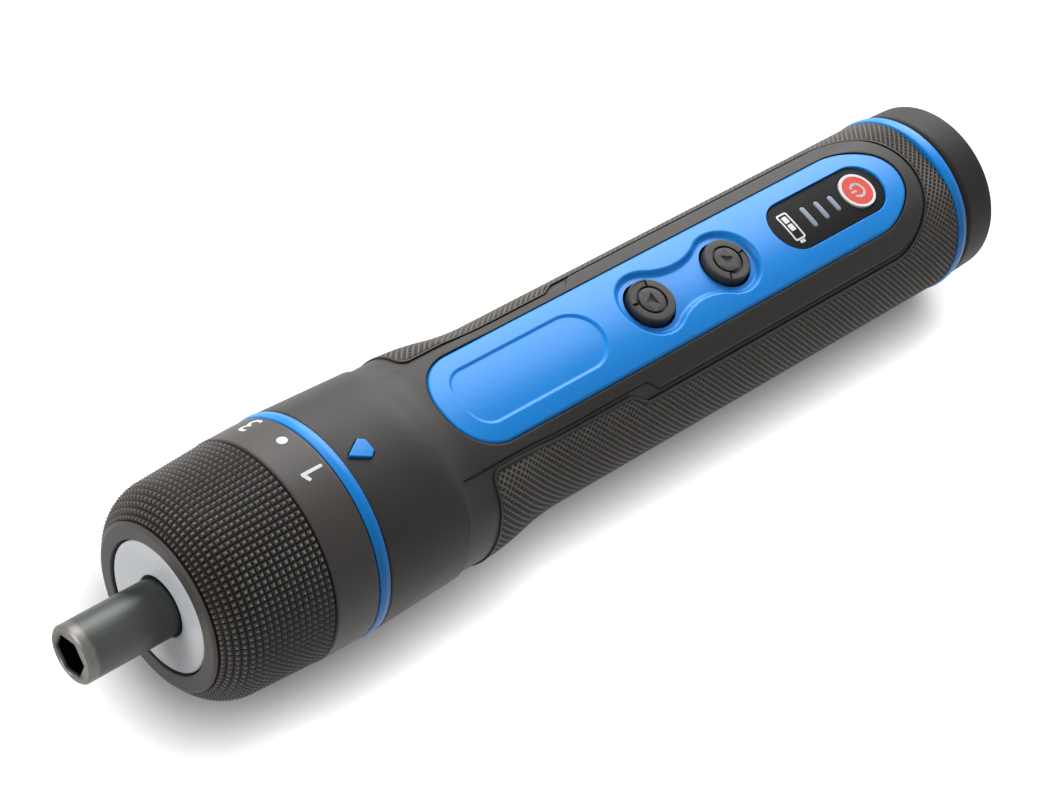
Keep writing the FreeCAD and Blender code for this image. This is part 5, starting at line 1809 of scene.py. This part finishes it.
@dataclass
class DirectionButton:
    """A round button with a ring groove, two notches and a sunk triangle."""

    way: Way
    x: float
    notches: tuple[float, float]
    radius: float = 4.5
    top: float = 17.1
    bottom: float = 14.9
    steps: int = 72
    groove: float = 2.98
    groove_width: float = 0.46
    groove_depth: float = 0.42
    draft: float = 0.03
    lip: float = 0.08
    edge_start: float = 0.32
    edge: tuple[Step, ...] = ((0.04, 0.14), (0.08, 0.1), (0.1, 0.06), (0.12, 0.02))
    sector_depth: float = 0.13
    sector_wall: float = 0.05
    slot_wall: float = 0.02
    chord: float = 0.12
    painted_shade_inset: float = 0.3
    painted_shade_from: float = 0.3
    painted_shade_below: float = 0.25
    triangle_wall: tuple[Step, ...] = ((0.03, -0.2), (0.4, -0.2))
    triangle_tip: float = 1.36
    triangle_back: float = 0.78
    triangle_half: float = 1.3

    def make_top(self, blank: Blank) -> BMFace:
        """Raise the cap, round its edge and give its flat top."""
        disc = blank.circle(self.x, self.radius, self.bottom, self.steps)
        return blank.terrace(blank.pillar(disc, self.top - self.edge_start), self.edge)

    def cut_notches(self, blank: Blank, ring: Sequence[BMFace]) -> None:
        """Sink two notches and the sector between them.

        Args:
            blank: The mesh to work on.
            ring: The faces of the outer ring.
        """
        step = 360.0 / self.steps
        first, last = self.notches
        sector = []
        slots = []
        for face in ring:
            middle = face.calc_center_median()
            angle = math.degrees(math.atan2(middle.y, middle.x - self.x))
            past = (angle - first) % 360.0
            span = (last - first) % 360.0
            if past < step or abs(past - span) < step / 2:
                slots.append(face)
            elif past < span:
                sector.append(face)
        cuts = ((sector, self.sector_wall, self.sector_depth), (slots, self.slot_wall, self.groove_depth))
        for faces, wall, depth in cuts:
            bmesh.ops.inset_region(blank.bm, faces=faces, thickness=wall, depth=-depth,
                                   use_even_offset=True)

    def build(self) -> None:
        """Build the button."""
        blank = Blank(self.chord)
        sunk = blank.bm.verts.layers.float.new(TIP)
        top = self.make_top(blank)
        flat = self.radius - sum(inwards for inwards, _ in self.edge)
        known = set(blank.bm.faces)
        top = blank.terrace(top, [(flat - self.groove, 0.0)])
        ring = [face for face in blank.bm.faces if face not in known]
        top = blank.terrace(top, [
            (self.draft, -self.groove_depth), (self.groove_width - self.draft * 2, 0.0),
            (self.draft, self.groove_depth - self.draft), (self.lip, self.draft)])
        level = top.verts[0].co.z
        around = blank.open(top)
        sense = 1.0 if self.way is Way.FORWARD else -1.0
        back = self.x - sense * self.triangle_back
        half = sense * self.triangle_half
        plan = [(self.x + sense * self.triangle_tip, 0.0, 0.0), (back, half, 0.0), (back, -half, 0.0)]
        sign = blank.outline(plan, height=level)
        pit = blank.sheet(sign)
        blank.web(around, sign)
        blank.terrace(pit, self.triangle_wall)
        self.cut_notches(blank, ring)
        blank.mend()
        # Mark the groove, notches and triangle inside the cap and below its top, so that the material
        # paints shade into them.
        low, high = self.bottom + self.painted_shade_from, self.top - self.painted_shade_below
        for vert in blank.bm.verts:
            inside = math.hypot(vert.co.x - self.x, vert.co.y) < self.radius - self.painted_shade_inset
            vert[sunk] = float(inside and low < vert.co.z < high)
        body = f"{self.way.value}_button"
        blank.piece(f"{self.way.value}_cap", Dress("button_plastic", body, (body,)))


@dataclass
class Pointer:
    """The small blue arrowhead let into the barrel, with a dark gap round it."""

    tip: float = 156.1
    shoulder: float = 152.6
    rear: float = 151.5
    half: float = 2.0
    rear_half: float = 1.15
    corner: float = 0.25
    barrel_rear: float = 139.6
    barrel_radius: float = 19.75
    barrel_slope: float = 0.6 / 18.0
    depth: float = 1.3
    sunk: float = 0.14
    edge_start: float = 0.08
    edge: tuple[Step, ...] = ((0.04, 0.05), (0.08, 0.03), (0.1, 0.0))
    strip: float = 0.4
    chord: float = 0.1
    tip_gap: float = 1.4

    def plan(self, gap: float) -> list[Corner]:
        """Draw the arrowhead, widened by a gap."""
        corner = self.corner + gap
        half, rear_half = self.half + gap, self.rear_half + gap
        return [(self.tip + gap * self.tip_gap, 0.0, corner), (self.shoulder, half, corner),
                (self.rear - gap, rear_half, corner), (self.rear - gap, -rear_half, corner),
                (self.shoulder, -half, corner)]

    def height(self, place: Vector) -> float:
        """Give the barrel's height at a place."""
        radius = self.barrel_radius + (place.x - self.barrel_rear) * self.barrel_slope
        return math.sqrt(radius ** 2 - place.y ** 2)

    def build(self) -> None:
        """Build the arrowhead."""
        blank = Blank(self.chord)
        edges = blank.outline(self.plan(0.0), height=-self.depth)
        blank.terrace(blank.pillar(edges, -self.sunk - self.edge_start), self.edge)
        blank.mend()
        blank.slice_across(self.half, self.strip)
        blank.lift(self.height)
        blank.piece("pointer_inlay", Dress("blue_plastic", "housing", ("pointer",)))


@dataclass
class TrimRing:
    """A blue ring round the body, slightly convex."""

    name: str
    node: str
    rear: float
    front: float
    radius: float
    inner: float
    bulge: float = 0.16
    edge: float = 0.3
    crest: float = 1.6
    steps: int = 160
    chord: float = 0.08

    def build(self) -> None:
        """Spin the ring."""
        blank = Blank(self.chord)
        middle = (self.rear + self.front) / 2
        shoulder = self.radius - self.bulge
        profile = [(self.rear, self.inner, 0.0), (self.rear, shoulder, self.edge),
                   (middle, self.radius, self.crest), (self.front, shoulder, self.edge),
                   (self.front, self.inner, 0.0)]
        blank.turn(blank.outline(profile, Plane.PROFILE), self.steps)
        blank.piece(self.name, Dress("blue_plastic", "housing", (self.node,)))


@dataclass
class LightRing:
    """The milky ring round the spindle, dished towards its middle."""

    front: float = 188.85
    rear: float = 183.3
    outer: float = 11.72
    inner: float = 5.45
    dish: float = 0.45
    bend: float = 1.5
    inner_round: float = 0.25
    inner_flat: float = 1.0
    outer_round: float = 0.4
    outer_flat: float = 1.2
    steps: int = 128
    chord: float = 0.15

    def build(self) -> None:
        """Spin the ring."""
        blank = Blank(self.chord)
        dished = self.front - self.dish
        profile = [(self.rear, self.inner, 0.0), (dished, self.inner, self.inner_round),
                   (dished, self.inner + self.inner_flat, self.bend),
                   (self.front, self.outer - self.outer_flat, self.bend),
                   (self.front, self.outer, self.outer_round), (self.rear, self.outer, 0.0)]
        blank.turn(blank.outline(profile, Plane.PROFILE), self.steps)
        blank.piece("light_ring", Dress("lens_plastic", "housing", ("light_lens",)))


@dataclass
class SmoothCopies:
    """Solids whose shape is right: copies of them with merged, smoothly shaded surfaces."""

    nodes: tuple[str, ...] = ("tail_cap", "spindle", "clutch_spring")
    crease: float = 30.0
    merge: float = 0.002
    nut_travel: float = 3.2

    def squeeze(self, spring: bpy.types.Object) -> None:
        """Give the spring's piece its own mesh.

        Args:
            spring: The spring's piece.
        """
        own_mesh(spring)

    def build(self, frame: dict[str, Any]) -> None:
        """Copy each solid.

        Args:
            frame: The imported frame.
        """
        slots = {part["node"]: part["material_slot"] for part in frame["record"]["subparts"]}
        for name in self.nodes:
            blank = Blank()
            blank.bm.from_mesh(frame["nodes"][name].data)
            bmesh.ops.scale(blank.bm, vec=(1 / MM, 1 / MM, 1 / MM), verts=blank.bm.verts)
            bmesh.ops.remove_doubles(blank.bm, verts=blank.bm.verts, dist=self.merge)
            dress = Dress(slots[name], "spindle" if name == "spindle" else "housing", (name,))
            soft = name == "clutch_spring"
            piece = blank.piece(f"{name}_smooth", dress, self.crease, level=not soft)
            if soft:
                self.squeeze(piece)


@dataclass
class Studio:
    """The floor, the lamps, the world and the camera."""

    tail_contact: tuple[float, float] = (10.1, -17.8)
    head_contact: tuple[float, float] = (158.7, -20.5)
    floor_size: float = 4.0
    aim: tuple[float, float, float] = (0.1, 0.0, 0.0)
    lens: float = 92.571
    sensor: float = 36.0
    eye: tuple[float, float, float] = (0.373998, 0.129016, 0.368219)
    right: tuple[float, float, float] = (-0.72503, 0.61710, 0.30580)
    up: tuple[float, float, float] = (-0.39672, -0.73717, 0.54699)
    back: tuple[float, float, float] = (0.56297, 0.27526, 0.77929)
    glow: float = 1.0
    painted_shadow_reach: float = 12.0
    sky: float = 0.16
    paper: Colour = (0.45, 0.45, 0.45, 1.0)
    fleck: float = 30.0
    fleck_light: float = 0.98
    painted_shadow_samples: int = 16
    nearest: float = 0.01

    def make_floor(self) -> None:
        """Lay the floor under the two rings that the tool rests on."""
        bm = bmesh.new()
        bmesh.ops.create_grid(bm, x_segments=8, y_segments=8, size=self.floor_size / 2)
        (rear_x, rear_z), (front_x, front_z) = self.tail_contact, self.head_contact
        slope = (front_z - rear_z) / (front_x - rear_x)
        for vert in bm.verts:
            vert.co.z = (rear_z - rear_x * slope) * MM + vert.co.x * slope
        mesh = bpy.data.meshes.new("floor")
        bm.to_mesh(mesh)
        bm.free()
        mesh.materials.append(self.floor_material())
        show("floor", mesh)

    def floor_material(self) -> bpy.types.Material:
        """Make pale paper that keeps the shadow and shows white to the eye, with a painted contact shadow
        where its glow fades near the tool.
        """
        graph = Graph("floor_paper")
        fleck = graph.noise(self.fleck, FEW_LAYERS)
        tone = graph.uneven(fleck, self.paper, self.fleck_light)
        paper = graph.node("ShaderNodeBsdfDiffuse", {}, {"Color": tone})
        # Painted contact shadow: ambient occlusion within the reach dims the glow near the tool.
        near = graph.node("ShaderNodeAmbientOcclusion", {"samples": self.painted_shadow_samples},
                          {"Distance": self.painted_shadow_reach * MM}, "AO")
        strength = graph.seen() * near * near * self.glow
        shine = graph.node("ShaderNodeEmission", {}, {"Strength": strength})
        return graph.close(graph.node("ShaderNodeAddShader", {}, {0: paper, 1: shine}))

    def make_world(self) -> None:
        """Fill the surroundings with even soft light, white to the eye."""
        graph = Graph("studio", world=True)
        strength = graph.seen() * (1 - self.sky) + self.sky
        bpy.context.scene.world = graph.close(graph.node("ShaderNodeBackground", {}, {
            "Color": (1.0, 1.0, 1.0, 1.0), "Strength": strength}))

    def make_lamp(self, name: str, spot: Sequence[float], power: float, size: float) -> None:
        """Hang one soft lamp that looks at the tool's middle.

        Args:
            name: The lamp's name.
            spot: Its place in metres.
            power: Its power in watts.
            size: Length of its sides in metres.
        """
        lamp = bpy.data.lights.new(name, "AREA")
        lamp.energy = power
        lamp.size = size
        holder = show(name, lamp)
        aim = Vector(self.aim) - Vector(spot)
        holder.rotation_euler = aim.to_track_quat("-Z", "Y").to_euler()
        holder.location = spot

    def make_camera(self) -> None:
        """Set the camera up as the picture was taken."""
        camera = bpy.data.cameras.new("camera")
        camera.sensor_fit = "HORIZONTAL"
        camera.sensor_width = self.sensor
        camera.lens = self.lens
        camera.clip_start = self.nearest
        holder = show("camera", camera)
        frame = Matrix((self.right, self.up, self.back)).transposed().to_4x4()
        frame.translation = Vector(self.eye)
        holder.matrix_world = frame
        bpy.context.scene.camera = holder

    def build(self) -> None:
        """Build the studio."""
        self.make_camera()
        self.make_floor()
        self.make_world()
        self.make_lamp("key", spot=(-0.48, -0.6, 0.5), power=12.0, size=0.85)
        self.make_lamp("front", spot=(0.88, -0.38, 0.3), power=4.0, size=0.5)
        bpy.context.scene.view_settings.view_transform = "Standard"


def dress_solids(frame: dict[str, Any]) -> None:
    """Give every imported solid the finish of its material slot.

    Args:
        frame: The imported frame.
    """
    for part in frame["record"]["subparts"]:
        material = PAINT.material(SLOT_FINISHES[part["material_slot"]])
        for slot in frame["nodes"][part["node"]].material_slots:
            slot.material = material


def main() -> None:
    """Load the frame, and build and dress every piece."""
    logging.basicConfig(level=logging.INFO, format="%(name)s: %(message)s")
    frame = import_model()
    dress_solids(frame)
    Studio().build()
    SmoothCopies().build(frame)
    Selector().build()
    Grip().build()
    panel = ControlPanel()
    pointer = Pointer()
    Housing().build(panel, pointer)
    panel.build()
    IndicatorPlate().build()
    PowerButton().build()
    DirectionButton(Way.FORWARD, panel.forward_x, notches=(-113.0, -10.0)).build()
    DirectionButton(Way.REVERSE, panel.reverse_x, notches=(53.0, 184.0)).build()
    pointer.build()
    TrimRing("head_ring", "head_trim_ring", rear=157.7, front=159.88, radius=20.5, inner=17.0).build()
    TrimRing("tail_ring", "tail_trim_ring", rear=8.95, front=11.25, radius=17.8, inner=15.0).build()
    LightRing().build()


if __name__ == "__main__":
    main()
